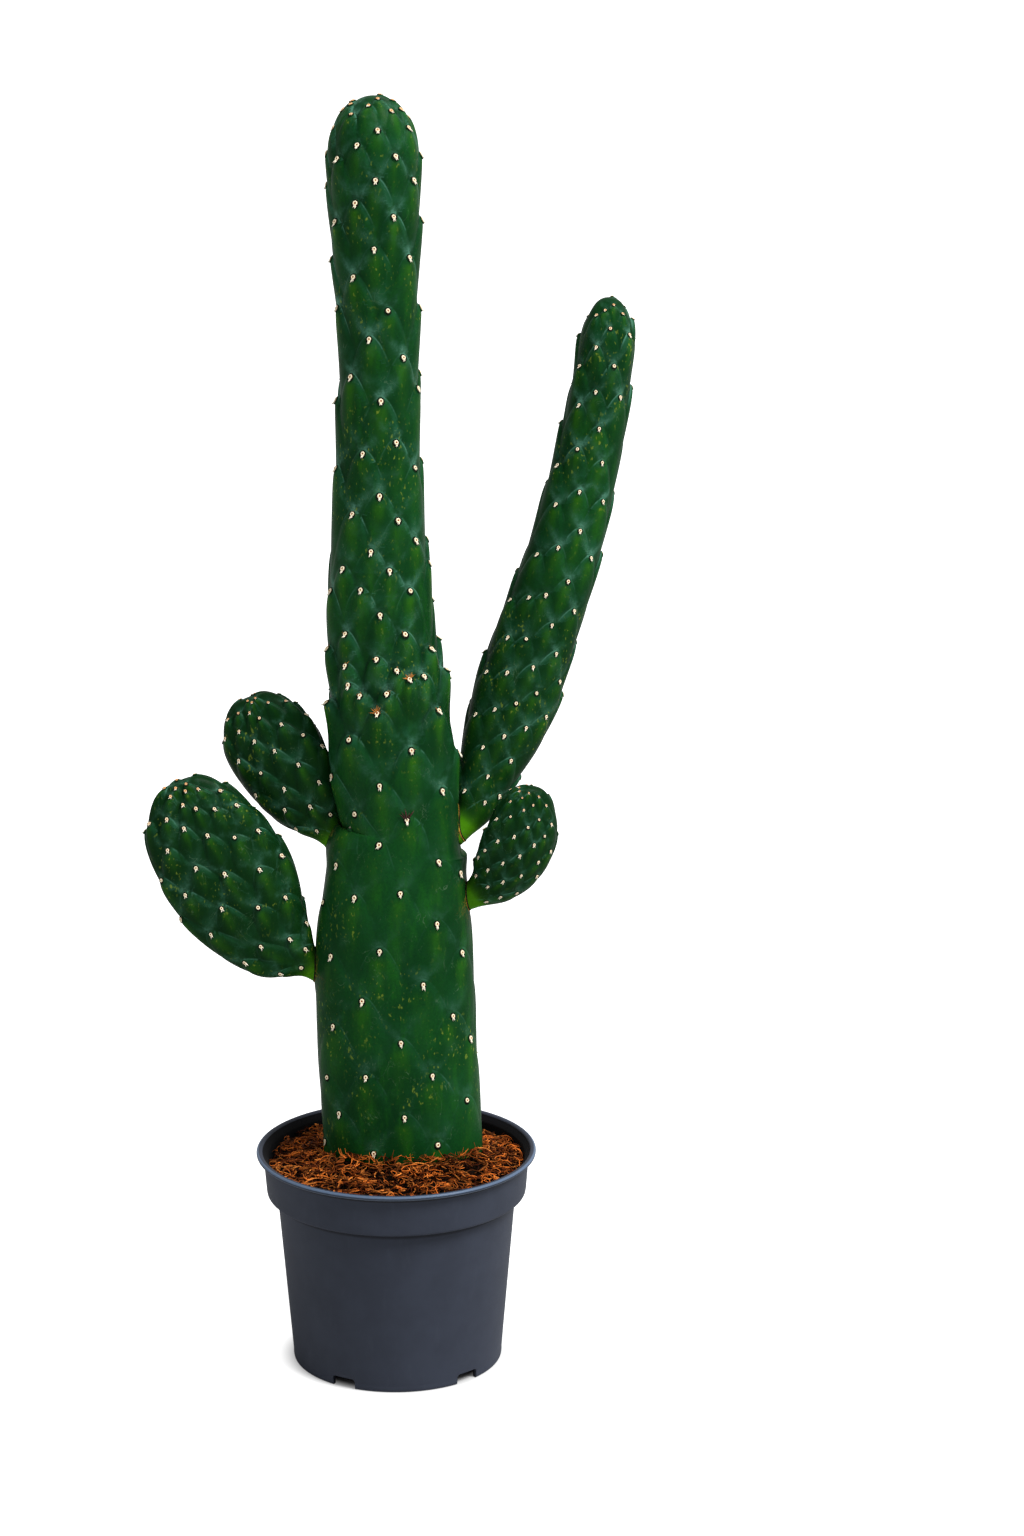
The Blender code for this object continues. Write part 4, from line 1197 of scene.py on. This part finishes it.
class CactusColours(PropertyGroup):
    deep_green: colour_setting(
        "Deep green", "Darkest green of the waxy skin", (0.0030, 0.0400, 0.0075)
    )
    leaf_green: colour_setting("Leaf green", "Usual green of the waxy skin", (0.0055, 0.0620, 0.0115))
    young_green: colour_setting("Young green", "Fresh green in patches", (0.0110, 0.1050, 0.0085))
    # Painted shade in the hollows, the creases and just outside the arched edges, and a fine darker mottle
    shade_and_mottle_green: colour_setting(
        "Hollow green", "Dark green between the mounds", (0.0024, 0.0260, 0.0080)
    )
    # Painted shade over the pads and over the arm's foot
    shade_green: colour_setting(
        "Shade green", "Dark green of the pads and of the arm's foot", (0.0022, 0.0205, 0.0030)
    )
    streak_green: colour_setting(
        "Streak green", "Yellow-green streak below an areole", (0.0300, 0.1450, 0.0040)
    )
    # Blue-green of the waxy coat, laid on as painted sheen above the areoles, along the lit edges and on
    # the crests
    wax: colour_setting(
        "Wax", "Blue-green wax along the crests of the mounds", (0.0150, 0.1000, 0.0460)
    )
    # Pale frost above the areoles, a waxy coat brightened as painted sheen, and the thin painted highlight
    # along each lit edge
    bloom: colour_setting(
        "Bloom", "Pale lines of thick wax that meet above an areole", (0.1100, 0.3000, 0.2100)
    )
    neck_green: colour_setting("Neck green", "Bright green of a young neck", (0.0700, 0.2600, 0.0040))
    fleck: colour_setting("Fleck", "Small yellow flecks", (0.1900, 0.2700, 0.0300))
    scratch: colour_setting("Scratch", "Pale healed scratches", (0.1200, 0.2200, 0.1200))
    cork: colour_setting("Cork", "Yellow-brown cork round a joint", (0.4200, 0.2600, 0.0300))


class PotSize(PropertyGroup):
    lip_radius: FloatProperty(
        name="Lip radius", description="Outer radius of the lip", default=0.0525, unit="LENGTH",
    )
    lip_top: FloatProperty(
        name="Height", description="Height of the lip above the surface it stands on",
        default=0.0822, unit="LENGTH",
    )
    wall: FloatProperty(
        name="Wall", description="Thickness of the wall", default=0.0015, unit="LENGTH",
    )
    sides: IntProperty(name="Sides", description="Segments round the pot", default=192, min=48)
    notches: IntProperty(name="Notches", description="Drainage notches round the foot", default=5)
    colour: colour_setting("Colour", "Colour of the plastic", (0.0350, 0.0420, 0.0620))


class SoilAmount(PropertyGroup):
    strands: IntProperty(name="Strands", description="Coarse coir strands", default=900, min=0)
    hairs: IntProperty(name="Hairs", description="Fine coir hairs", default=700, min=0)
    crumbs: IntProperty(name="Crumbs", description="Loose crumbs", default=1700, min=0)
    sprigs: IntProperty(name="Standing strands", description="Strands against the trunk", default=60, min=0)
    seed: IntProperty(name="Seed", description="Seed of the scatter", default=11)


class StageLight(PropertyGroup):
    key: FloatProperty(name="Key", description="Strength of the soft key light", default=3.2, min=0.0)
    fill: FloatProperty(
        name="Fill", description="Strength of the light from all round", default=0.78, min=0.0,
    )
    front: FloatProperty(
        name="Front", description="Share of the fill that comes from the camera's side", default=0.30,
        min=0.0, max=1.0,
    )
    left: FloatProperty(
        name="Left", description="Share of the fill that comes from the left", default=0.65,
        min=0.0, max=1.0,
    )


# Operators

def plant_layout():
    """Each stem with its measured skin, its areoles, and the joints on it."""
    trunk = trunk_stem()
    sides = side_stems()
    joints = [stem.spine[0](NECK_DEPTH) for stem in sides]
    rng = np.random.default_rng(LAYOUT_SEED)
    layout = []
    for stem in (trunk, *sides):
        skin = measure_skin(stem)
        if stem.name == "trunk":
            face = np.array(FACE_AREOLES)
            face_along = (face[:, 1] * MM - TRUNK_FOOT) * skin.length / (TRUNK_TIP - TRUNK_FOOT)
            around, along = faced_areoles(stem, skin, joints, face[:, 0] / COLUMNS, face_along)
            height = TRUNK_FOOT + along * (TRUNK_TIP - TRUNK_FOOT) / skin.length
            knob = spot((height - 258.0 * MM) / (26.0 * MM))
            waxy = 0.25 + 0.75 * smooth_step((height - 190.0 * MM) / (90.0 * MM))
        else:
            face = np.array(SIDE_AREOLES[stem.name])
            around, along = faced_areoles(stem, skin, (), face[:, 0] / 100.0, face[:, 1] * MM)
            knob = np.zeros(len(along))
            waxy = np.full(len(along), 0.70)
            if stem.name == "right_arm":
                waxy = 0.75 + 0.55 * smooth_step((along - 90.0 * MM) / (80.0 * MM))
        waxy = waxy * rng.uniform(0.45, 1.0, len(along))
        areoles = Areoles(around, along, np.sqrt(stem.skin(along)), knob, waxy)
        layout.append((stem, skin, areoles, joints if stem.name == "trunk" else []))
    return layout


class PLANT_OT_stems(Operator):
    """Builds the trunk, the three pads and the arm, with their mounds"""

    bl_idname = "prickly_pear.stems"
    bl_label = "Stems"

    def execute(self, context):
        material = flesh_finish(context.scene.cactus_colours)
        for stem, skin, areoles, joints in plant_layout():
            piece = build_flesh(stem, areoles, skin, joints, material)
            finish_piece(piece, stem.name)
        return {"FINISHED"}


class PLANT_OT_joints(Operator):
    """Lays a ring of cork and a dark line round each neck, where it leaves the trunk"""

    bl_idname = "prickly_pear.joints"
    bl_label = "Joints"

    def execute(self, context):
        cork = seam_finish("joint_cork", (0.62, 0.36, 0.05), (0.26, 0.13, 0.012))
        dark = seam_finish("joint_line", (0.012, 0.010, 0.003), (0.003, 0.003, 0.001))
        trunk = trunk_stem()
        for stem in side_stems():
            ring, way = joint_ring(trunk, stem, JOINT_SIDES)
            for kind, material, radius, offset in (("cork", cork, 0.21, -0.20), ("line", dark, 0.28, 0.24)):
                name = f"{stem.name}_{kind}"
                mesh = ring_tube(name, ring + way * (offset * MM), radius * MM)
                finish_piece(make_piece(name, mesh, material), stem.name)
        return {"FINISHED"}


class PLANT_OT_areoles(Operator):
    """Grows a felt cushion and its hanging spines on every mound"""

    bl_idname = "prickly_pear.areoles"
    bl_label = "Areoles and spines"

    def execute(self, context):
        felt = cushion_finish()
        horn = spine_finish()
        rng = np.random.default_rng(SPINE_SEED)
        for stem, skin, areoles, joints in plant_layout():
            seats = areole_seats(stem, areoles, skin, joints)
            places, facing, upward, size, tip = seats
            mesh = points_mesh(
                "seats", places + facing * size[:, None] * 0.12, facing=facing, upward=upward,
                size=size, thick=np.ones(len(places)), rust=tip,
            )
            piece = instances_on(mesh, f"{stem.name}_areoles", cushion_mesh(), felt, 3, 0.08)
            finish_piece(piece, stem.name)
            old = None
            tufts = []
            if stem.name == "trunk":
                old = nearest_areole(areoles, skin.length, OLD_AREOLE)
                tufts = [nearest_areole(areoles, skin.length, place) for place in TUFTS]
            splays = (0.30, 0.65) if stem.name.endswith("pad") else (0.02, 0.26)
            rows = spines_of(seats, rng, splays, areoles.knob, old, tufts)
            roots, ways, reach, thick, dark, warm = rows
            mesh = points_mesh(
                "roots", roots, facing=ways, upward=np.cross(ways, (0.0, 0.0, 1.0)) + 1e-4, size=reach,
                thick=thick, dark=dark, warm=warm,
            )
            piece = instances_on(mesh, f"{stem.name}_spines", spine_mesh(), horn, 4, 0.15)
            finish_piece(piece, stem.name)
        return {"FINISHED"}


def rounded(profile, radius):
    """The profile with each inner corner turned into a short curve."""
    out = [profile[0]]
    for before, corner, after in zip(profile, profile[1:], profile[2:]):
        before, corner, after = (Vector(point) for point in (before, corner, after))
        reach = min(radius, 0.45 * (corner - before).length, 0.45 * (after - corner).length)
        start = corner + (before - corner).normalized() * reach
        end = corner + (after - corner).normalized() * reach
        for share in (0.0, 0.25, 0.5, 0.75, 1.0):
            point = start * (1 - share) ** 2 + corner * 2 * share * (1 - share) + end * share**2
            out.append(tuple(point))
    out.append(profile[-1])
    return out


def pot_profile(size):
    """Inner wall up from the floor's edge, over the lip, and down to the foot ring, in millimetres."""
    lip = size.lip_radius / MM
    top = size.lip_top / MM
    wall = size.wall / MM
    return rounded([
        (36.4, 6.3), (38.2, 8.1), (44.8 - wall, 64.2), (48.7 - wall, 66.6), (49.7 - wall, top - 2.7),
        (lip - 2.5, top - 0.9), (lip - 2.0, top), (lip - 0.5, top), (lip, top - 0.7),
        (lip - 0.15, top - 1.5), (lip - 1.1, top - 1.75), (lip - 1.2, top - 2.3), (50.1, top - 2.6),
        (49.75, top - 3.1), (48.75, 66.8), (48.55, 65.7), (47.5, 65.1), (45.1, 64.9), (44.7, 64.0),
        (39.45, 2.4), (39.5, 1.4), (39.3, 0.3), (38.9, 0.0), (37.6, 0.0), (37.5, 4.8),
    ], 0.5)


class PLANT_OT_pot(Operator):
    """Turns the grow pot, cuts its drainage notches and drain holes, and dresses it"""

    bl_idname = "prickly_pear.pot"
    bl_label = "Pot"

    def execute(self, context):
        size = context.scene.cactus_pot
        radius, height = (np.array(pot_profile(size))[::-1] * MM).T[..., None]
        points = oval((0.0, 0.0), radius, radius, full_turn(size.sides), height)
        ends = (0.0, 0.0, height[0, 0]), (0.0, 0.0, height[-1, 0])
        mesh = turn_outward(capped_tube("pot", points, *ends))
        pot = make_piece("grow_pot", mesh, pot_finish(size))
        cutters = [notch_cutter(size), drain_cutter(size)]
        for cutter in cutters:
            cut = pot.modifiers.new(cutter.name, "BOOLEAN")
            cut.operation = "DIFFERENCE"
            cut.solver = "EXACT"
            cut.object = cutter
        graph = context.evaluated_depsgraph_get()
        mesh = bpy.data.meshes.new_from_object(pot.evaluated_get(graph))
        pot.modifiers.clear()
        pot.data = mesh
        for cutter in cutters:
            bpy.data.objects.remove(cutter, do_unlink=True)
        mesh.shade_smooth()
        mesh.set_sharp_from_angle(angle=math.radians(40.0))
        # Inside marks the inner wall, which the finish paints near-black as shade
        inside = []
        for vert in mesh.vertices:
            inward = -vert.normal.xy.dot(vert.co.xy.normalized())
            low = vert.co.z < size.lip_top - 0.5 * MM
            inside.append(min(max(2.0 * inward, 0.0), 1.0) if low else 0.0)
        add_attribute(mesh, "inside", inside)
        finish_piece(pot, "pot")
        return {"FINISHED"}


def notch_cutter(size):
    bm = bmesh.new()
    for i in range(size.notches):
        angle = FIRST_NOTCH + math.tau * i / size.notches
        turn = Matrix.Rotation(angle, 4, "Z")
        place = Matrix.Translation((NOTCH_RADIUS, 0.0, 0.0))
        block = Matrix.Diagonal((*NOTCH_SIZE, 1.0))
        cube = bmesh.ops.create_cube(bm, size=1.0, matrix=turn @ place @ block)
        outward = Vector((math.cos(angle), math.sin(angle), 0.0))
        corners = set()
        for vert in cube["verts"]:
            for edge in vert.link_edges:
                run = (edge.verts[1].co - edge.verts[0].co).normalized()
                if abs(run.dot(outward)) > 0.9 and edge.verts[0].co.z > 0.0:
                    corners.add(edge)
        bmesh.ops.bevel(
            bm, geom=list(corners), offset=NOTCH_ROUNDING, segments=5, profile=0.5, affect="EDGES"
        )
    return cutter_object("notches", bm)


def drain_cutter(size):
    bm = bmesh.new()
    for i in range(size.notches):
        angle = FIRST_NOTCH + math.tau * (i + 0.5) / size.notches
        place = Matrix.Rotation(angle, 4, "Z") @ Matrix.Translation((DRAIN_PLACE, 0.0, 5.5 * MM))
        bmesh.ops.create_cone(
            bm, cap_ends=True, segments=32, radius1=DRAIN_RADIUS, radius2=DRAIN_RADIUS, depth=6.0 * MM,
            matrix=place,
        )
    return cutter_object("drains", bm)


def cutter_object(name, bm):
    cutter = bpy.data.objects.new(name, mesh_from(bm, name))
    bpy.context.scene.collection.objects.link(cutter)
    cutter.hide_render = True
    cutter.display_type = "WIRE"
    return cutter


# The soil

def soil_level(x, y, edge_share):
    front = smooth_step(0.5 - y / (40.0 * MM))
    at_stem = SOIL_AT_STEM + SOIL_FRONT_RISE * front
    fall = 1.0 - (1.0 - edge_share) ** 1.6
    level = at_stem + (SOIL_EDGE - at_stem) * fall
    lumps = np.sin(x / (5.3 * MM) + 1.0) * np.sin(y / (4.7 * MM) + 0.4)
    lumps += 0.6 * np.sin(x / (2.9 * MM) - y / (3.7 * MM))
    crumbs = np.sin(x / (1.1 * MM) + 2.0 * np.sin(y / (1.9 * MM)))
    crumbs *= np.sin(y / (1.3 * MM) + 2.0 * np.sin(x / (1.7 * MM)))
    within = np.sin(math.pi * np.clip(edge_share, 0.0, 1.0))
    return level + (0.7 * MM * lumps) * within + 0.35 * MM * crumbs * (0.3 + 0.7 * within)


def trunk_oval(trunk, height, around, level):
    """The ring of the hole round the trunk's section at a height, laid out at a level."""
    centre, across, through = trunk_section(trunk, height, HOLE_GAP)
    return oval(centre, across, through, section_angle(around, across, through), level)


def soil_top(trunk):
    """Rings of points over the soil, from the trunk's hole out to the pot's wall."""
    shares = np.linspace(0.0, 1.0, SOIL_RINGS)[:, None]
    around = np.arange(SOIL_SIDES) / SOIL_SIDES
    hole = trunk_oval(trunk, SOIL_AT_STEM, around, 0.0)
    rim = oval((0.0, 0.0), SOIL_RADIUS, SOIL_RADIUS, math.tau * around, 0.0)
    top = hole * (1.0 - shares[..., None]) + rim * shares[..., None]
    top[..., 2] = soil_level(top[..., 0], top[..., 1], shares)
    return top


def strand_template(name, rng, length, radius, sides, steps, curl, arch):
    """One curled coir strand along the ground, which arches over it, as a closed tube."""
    heading = 0.0
    sway = rng.uniform(-curl, curl)
    point = np.zeros(3)
    path = [point]
    for step in range(steps):
        sway = 0.85 * (sway + rng.normal(0.0, 0.6 * curl))
        heading += sway
        point = point + np.array((math.cos(heading), math.sin(heading), 0.0)) * (length / steps)
        path.append(point)
    path = np.array(path)
    path -= path.mean(axis=0)
    share = np.linspace(0.0, 1.0, steps + 1)
    wave = np.sin(math.tau * share * rng.uniform(0.7, 1.6) + rng.uniform(0.0, 3.0))
    path[:, 2] = rng.uniform(0.2, 1.0) * arch * (np.sin(math.pi * share) + 0.35 * wave)
    run = np.gradient(path, axis=0)
    side = unit(np.cross(run, (0.0, 0.0, 1.0)))
    over = unit(np.cross(side, run))
    thickness = radius * (1.0 - 0.55 * (2.0 * share - 1.0) ** 4)
    angles = full_turn(sides)[:, None]
    ring = side[:, None] * np.cos(angles) + over[:, None] * np.sin(angles)
    points = path[:, None] + ring * thickness[:, None, None]
    mesh = capped_tube(name, points, path[0] - run[0] * 0.1, path[-1] + run[-1] * 0.1)
    return bpy.data.objects.new(name, turn_outward(mesh))


def crumb_template(name, rng):
    bm = bmesh.new()
    bmesh.ops.create_icosphere(bm, subdivisions=1, radius=1.0)
    for vert in bm.verts:
        vert.co *= rng.uniform(0.7, 1.15)
        vert.co.z *= 0.75
    return bpy.data.objects.new(name, mesh_from(bm, name))


def sprig_mesh():
    """A bent three-sided strand, one unit long along +Z."""
    share = np.linspace(0.0, 1.0, 7)
    path = np.stack((0.16 * np.sin(3.0 * share), 0.22 * share**2, share), axis=-1)
    ring = oval((0.0, 0.0), 1.0, 1.0, full_turn(3), 0.0)
    points = path[:, None, :] + ring[None] * (0.055 * (1.0 - 0.6 * share))[:, None, None]
    return turn_outward(capped_tube("sprig", points, path[0], path[-1] + (0.0, 0.02, 0.03)))


def keep_in_pot(piece, trunk):
    """Presses whatever crosses the pot's wall or the trunk's skin back against it."""
    mesh = piece.data
    points = np.empty(len(mesh.vertices) * 3, dtype=np.float32)
    mesh.vertices.foreach_get("co", points)
    points = points.reshape(-1, 3).astype(float)
    radius = np.linalg.norm(points[:, :2], axis=1)
    over = radius > POT_INSIDE - PRESS_DEPTH
    pressed = np.exp(-(radius[over] - POT_INSIDE + PRESS_DEPTH) / PRESS_DEPTH)
    pressed = POT_INSIDE - PRESS_DEPTH * pressed
    points[over, :2] *= (pressed / radius[over])[:, None]
    centre, across, through = trunk_section(trunk, COIR_LEVEL, 0.4 * MM)
    x = (points[:, 0] - centre[0]) / across
    y = (points[:, 1] - centre[1]) / through
    reach = np.sqrt(x * x + y * y)
    under = reach < 1.0
    points[under, 0] = centre[0] + x[under] / reach[under] * across
    points[under, 1] = centre[1] + y[under] / reach[under] * through
    mesh.vertices.foreach_set("co", points.astype(np.float32).ravel())
    mesh.update()


def scatter_piece(trunk, ground, name, shapes, material, count, seed, tilt, sizes):
    """Scatters the shapes over the ground as one piece, each turned, tilted and tinted by chance."""
    collection = bpy.data.collections.new(f"{name}_shapes")
    for shape in shapes:
        collection.objects.link(shape)
    growth = Growth(name, material)
    area = sum(polygon.area for polygon in ground.polygons)
    density = growth.input("Density", "NodeSocketFloat", count / area)
    chance = growth.input("Seed", "NodeSocketInt", seed)
    templates = growth.input("Templates", "NodeSocketCollection", collection)
    scattered = growth.node(
        "GeometryNodeDistributePointsOnFaces", None,
        {"Mesh": growth.geometry, "Density": density, "Seed": chance}, "Points",
    )
    picked = growth.node(
        "GeometryNodeCollectionInfo", None,
        {"Collection": templates, "Separate Children": True, "Reset Children": True},
    )
    placed = growth.node(
        "GeometryNodeInstanceOnPoints", None,
        {"Points": scattered, "Instance": picked, "Pick Instance": True,
         "Rotation": growth.random((-tilt, -tilt, 0.0), (tilt, tilt, math.tau), chance),
         "Scale": growth.random(*sizes, chance + 1.0)},
    )
    tinted = growth.node(
        "GeometryNodeStoreNamedAttribute", {"data_type": "FLOAT", "domain": "INSTANCE"},
        {"Geometry": placed, "Name": "tint", "Value": growth.random(0.0, 1.0, chance + 2.0)},
    )
    piece = growth.grow(tinted, ground, name)
    for shape in shapes:
        bpy.data.objects.remove(shape, do_unlink=True)
    bpy.data.collections.remove(collection)
    keep_in_pot(piece, trunk)
    finish_piece(piece, "substrate")


def sprigs_against(trunk, rng, count):
    """Strands that stand up against the trunk: where they start, and which way they lean."""
    around = rng.uniform(0.0, 1.0, count)
    around[: count // 2] = 0.75 + rng.normal(0.0, 0.12, count // 2)
    centre, across, through = trunk_section(trunk, SOIL_AT_STEM, 0.8 * MM)
    angle = section_angle(around, across, through)
    out = oval((0.0, 0.0), 1.0, 1.0, angle, 0.0)
    places = oval(centre, across, through, angle, 0.0) + out * rng.uniform(0.1, 1.6, (count, 1)) * MM
    places[:, 2] = soil_level(places[:, 0], places[:, 1], np.full(count, 0.04)) - 0.6 * MM
    along = np.stack((-out[:, 1], out[:, 0], np.zeros(count)), axis=-1)
    facing = along * rng.normal(0.0, 0.8, (count, 1)) + out * rng.uniform(0.0, 0.35, (count, 1))
    facing[:, 2] = rng.uniform(0.45, 1.0, count)
    return places, unit(facing), along


class PLANT_OT_soil(Operator):
    """Builds the coir: the soil's body, coarse strands, fine hairs, crumbs and standing strands"""

    bl_idname = "prickly_pear.soil"
    bl_label = "Coir soil"

    def execute(self, context):
        amount = context.scene.cactus_soil
        trunk = trunk_stem()
        top = soil_top(trunk)
        around = np.arange(SOIL_SIDES) / SOIL_SIDES
        hole = trunk_oval(trunk, HOLE_FLOOR, around, HOLE_FLOOR)
        walls = [
            oval((0.0, 0.0), radius, radius, math.tau * around, height) * MM
            for radius, height in ((46.7, 66.9), (42.85, 64.5), (37.7, 8.4), (35.9, SOIL_FOOT / MM))
        ]
        points = np.concatenate((hole[None], top - (0.0, 0.0, SOIL_DEPTH), np.array(walls)))
        centre = trunk_section(trunk, HOLE_FLOOR)[0]
        mesh = capped_tube("soil", points, (centre[0], centre[1], HOLE_FLOOR), (0.0, 0.0, SOIL_FOOT))
        body = make_piece("soil_body", turn_outward(mesh), soil_finish())
        finish_piece(body, "substrate")

        surface = [face[::-1] for face in tube_grid(SOIL_RINGS, SOIL_SIDES)]
        high, middle, low = (
            make_mesh("ground", (top - (0.0, 0.0, share * SOIL_DEPTH)).reshape(-1, 3).tolist(), surface)
            for share in (0.0, 0.55, 1.0)
        )
        rng = np.random.default_rng(amount.seed)
        # The coarse strands, which lie lower, lean to darker browns, and the crumbs at the bottom are
        # near-black: painted shade for their depth in the coir
        coarse = coir_finish("coir_strand", (0.03, 0.004, 0.0003), (1.00, 0.31, 0.055), 2.6)
        fine = coir_finish("coir_hair", (0.08, 0.012, 0.001), (1.00, 0.245, 0.034), 1.7)
        crumb = coir_finish("coir_granule", (0.003, 0.0006, 0.0001), (0.08, 0.013, 0.001), 2.2)
        for name, kinds, lengths, shape, ground, *scatter in (
            ("strand", 14, (6.0, 13.0), (0.28 * MM, 4, 12, 0.50, 2.2 * MM),
             middle, coarse, amount.strands, amount.seed, 0.16, (0.75, 1.2)),
            ("hair", 12, (4.0, 9.0), (0.21 * MM, 3, 10, 0.60, 1.6 * MM),
             high, fine, amount.hairs, amount.seed + 1, 0.25, (0.7, 1.3)),
        ):
            shapes = [
                strand_template(f"{name}_{index}", rng, rng.uniform(*lengths) * MM, *shape)
                for index in range(kinds)
            ]
            scatter_piece(trunk, ground, f"coir_{name}s", shapes, *scatter)
        crumbs = [crumb_template(f"crumb_{index}", rng) for index in range(5)]
        scatter_piece(
            trunk, low, "coir_crumbs", crumbs, crumb, amount.crumbs, amount.seed + 9, 1.0,
            (0.25 * MM, 0.70 * MM),
        )
        places, facing, upward = sprigs_against(trunk, rng, amount.sprigs)
        size = rng.uniform(2.0, 5.0, len(places)) * MM
        tint = rng.uniform(0.45, 1.0, len(places))
        mesh = points_mesh(
            "sprigs", places, facing=facing, upward=upward, size=size, thick=np.ones(len(places)),
            tint=tint,
        )
        piece = instances_on(mesh, "standing_strands", sprig_mesh(), fine, 6, 0.1)
        keep_in_pot(piece, trunk)
        finish_piece(piece, "substrate")
        return {"FINISHED"}


class PLANT_OT_stage(Operator):
    """Sets out the pale floor, the soft light and the camera"""

    bl_idname = "prickly_pear.stage"
    bl_label = "Stage"

    def execute(self, context):
        light = context.scene.cactus_light
        scene = context.scene
        scene.view_settings.view_transform = "Standard"
        bm = bmesh.new()
        bmesh.ops.create_grid(bm, x_segments=1, y_segments=1, size=30.0)
        finish = Finish("pale_floor")
        speck = finish.noise(6.0)
        radius = finish.node("ShaderNodeVectorMath", {"operation": "LENGTH"}, (finish.place,), "Value")
        seen = finish.node("ShaderNodeLightPath", output="Is Camera Ray")
        # The camera sees an even glow, which fades out near the pot's foot and leaves a painted contact
        # shadow there
        seen = seen * radius.ramp(34.0 * MM, 47.0 * MM)
        finish.set(
            Base_Color=finish.mix(speck, (0.54, 0.54, 0.54), (0.56, 0.56, 0.56)), Roughness=0.9,
            Specular_IOR_Level=0.0, Emission_Color=finish.mix(seen, (0.0, 0.0, 0.0), (0.92, 0.92, 0.92)),
            Emission_Strength=1.0,
        )
        make_piece("floor", mesh_from(bm, "floor"), finish.material)

        scene.world = bpy.data.worlds.new("soft_studio")
        scene.world.use_nodes = True
        sky = Network(scene.world.node_tree)
        back = sky.tree.nodes["Background"]
        way = sky.node("ShaderNodeTexCoord", output="Generated")
        depth = sky.node("ShaderNodeSeparateXYZ", None, (way,), "Y")
        across = sky.node("ShaderNodeSeparateXYZ", None, (way,), "X")
        level = light.front + (1.0 - light.front) * depth.ramp(-0.95, -0.10)
        level = light.fill * level * (light.left + (1.0 - light.left) * across.ramp(-0.8, 0.5))
        seen = sky.node("ShaderNodeLightPath", output="Is Camera Ray")
        sky.plug(back.inputs["Strength"], level + seen * (1.0 - level))
        sky.plug(back.inputs["Color"], (1.0, 1.0, 1.0, 1.0))

        key = bpy.data.lights.new("key", "SUN")
        key.energy = light.key
        key.angle = math.radians(25.0)
        lamp = bpy.data.objects.new("key", key)
        way = Vector(KEY_WAY)
        lamp.rotation_mode = "QUATERNION"
        lamp.rotation_quaternion = way.to_track_quat("Z", "Y")
        scene.collection.objects.link(lamp)

        view = bpy.data.cameras.new("camera")
        view.sensor_width = 36.0
        view.lens = CAMERA_LENS
        view.clip_end = 100.0
        camera = bpy.data.objects.new("camera", view)
        camera.location = CAMERA_PLACE
        camera.rotation_euler = CAMERA_TURN
        scene.collection.objects.link(camera)
        scene.camera = camera
        return {"FINISHED"}


class PLANT_PT_panel(Panel):
    bl_label = "Prickly pear"
    bl_idname = "PLANT_PT_prickly_pear"
    bl_space_type = "VIEW_3D"
    bl_region_type = "UI"
    bl_category = "Prickly pear"

    def draw(self, context):
        layout = self.layout
        for group in ("cactus_colours", "cactus_pot", "cactus_soil", "cactus_light"):
            settings = getattr(context.scene, group)
            box = layout.box()
            for name in settings.__annotations__:
                box.prop(settings, name)
        for name in ("stage", "pot", "soil", "stems", "joints", "areoles"):
            layout.operator(f"prickly_pear.{name}")


GROUPS = {
    "cactus_colours": CactusColours,
    "cactus_pot": PotSize,
    "cactus_soil": SoilAmount,
    "cactus_light": StageLight,
}
CLASSES = (
    *GROUPS.values(), PLANT_OT_stage, PLANT_OT_pot, PLANT_OT_soil, PLANT_OT_stems, PLANT_OT_joints,
    PLANT_OT_areoles, PLANT_PT_panel,
)


def register():
    for item in CLASSES:
        bpy.utils.register_class(item)
    for name, group in GROUPS.items():
        setattr(bpy.types.Scene, name, PointerProperty(type=group))


def unregister():
    for name in GROUPS:
        delattr(bpy.types.Scene, name)
    for item in reversed(CLASSES):
        bpy.utils.unregister_class(item)


def main():
    register()
    bpy.ops.prickly_pear.stage()
    bpy.ops.prickly_pear.pot()
    bpy.ops.prickly_pear.soil()
    bpy.ops.prickly_pear.stems()
    bpy.ops.prickly_pear.joints()
    bpy.ops.prickly_pear.areoles()


if __name__ == "__main__":
    main()
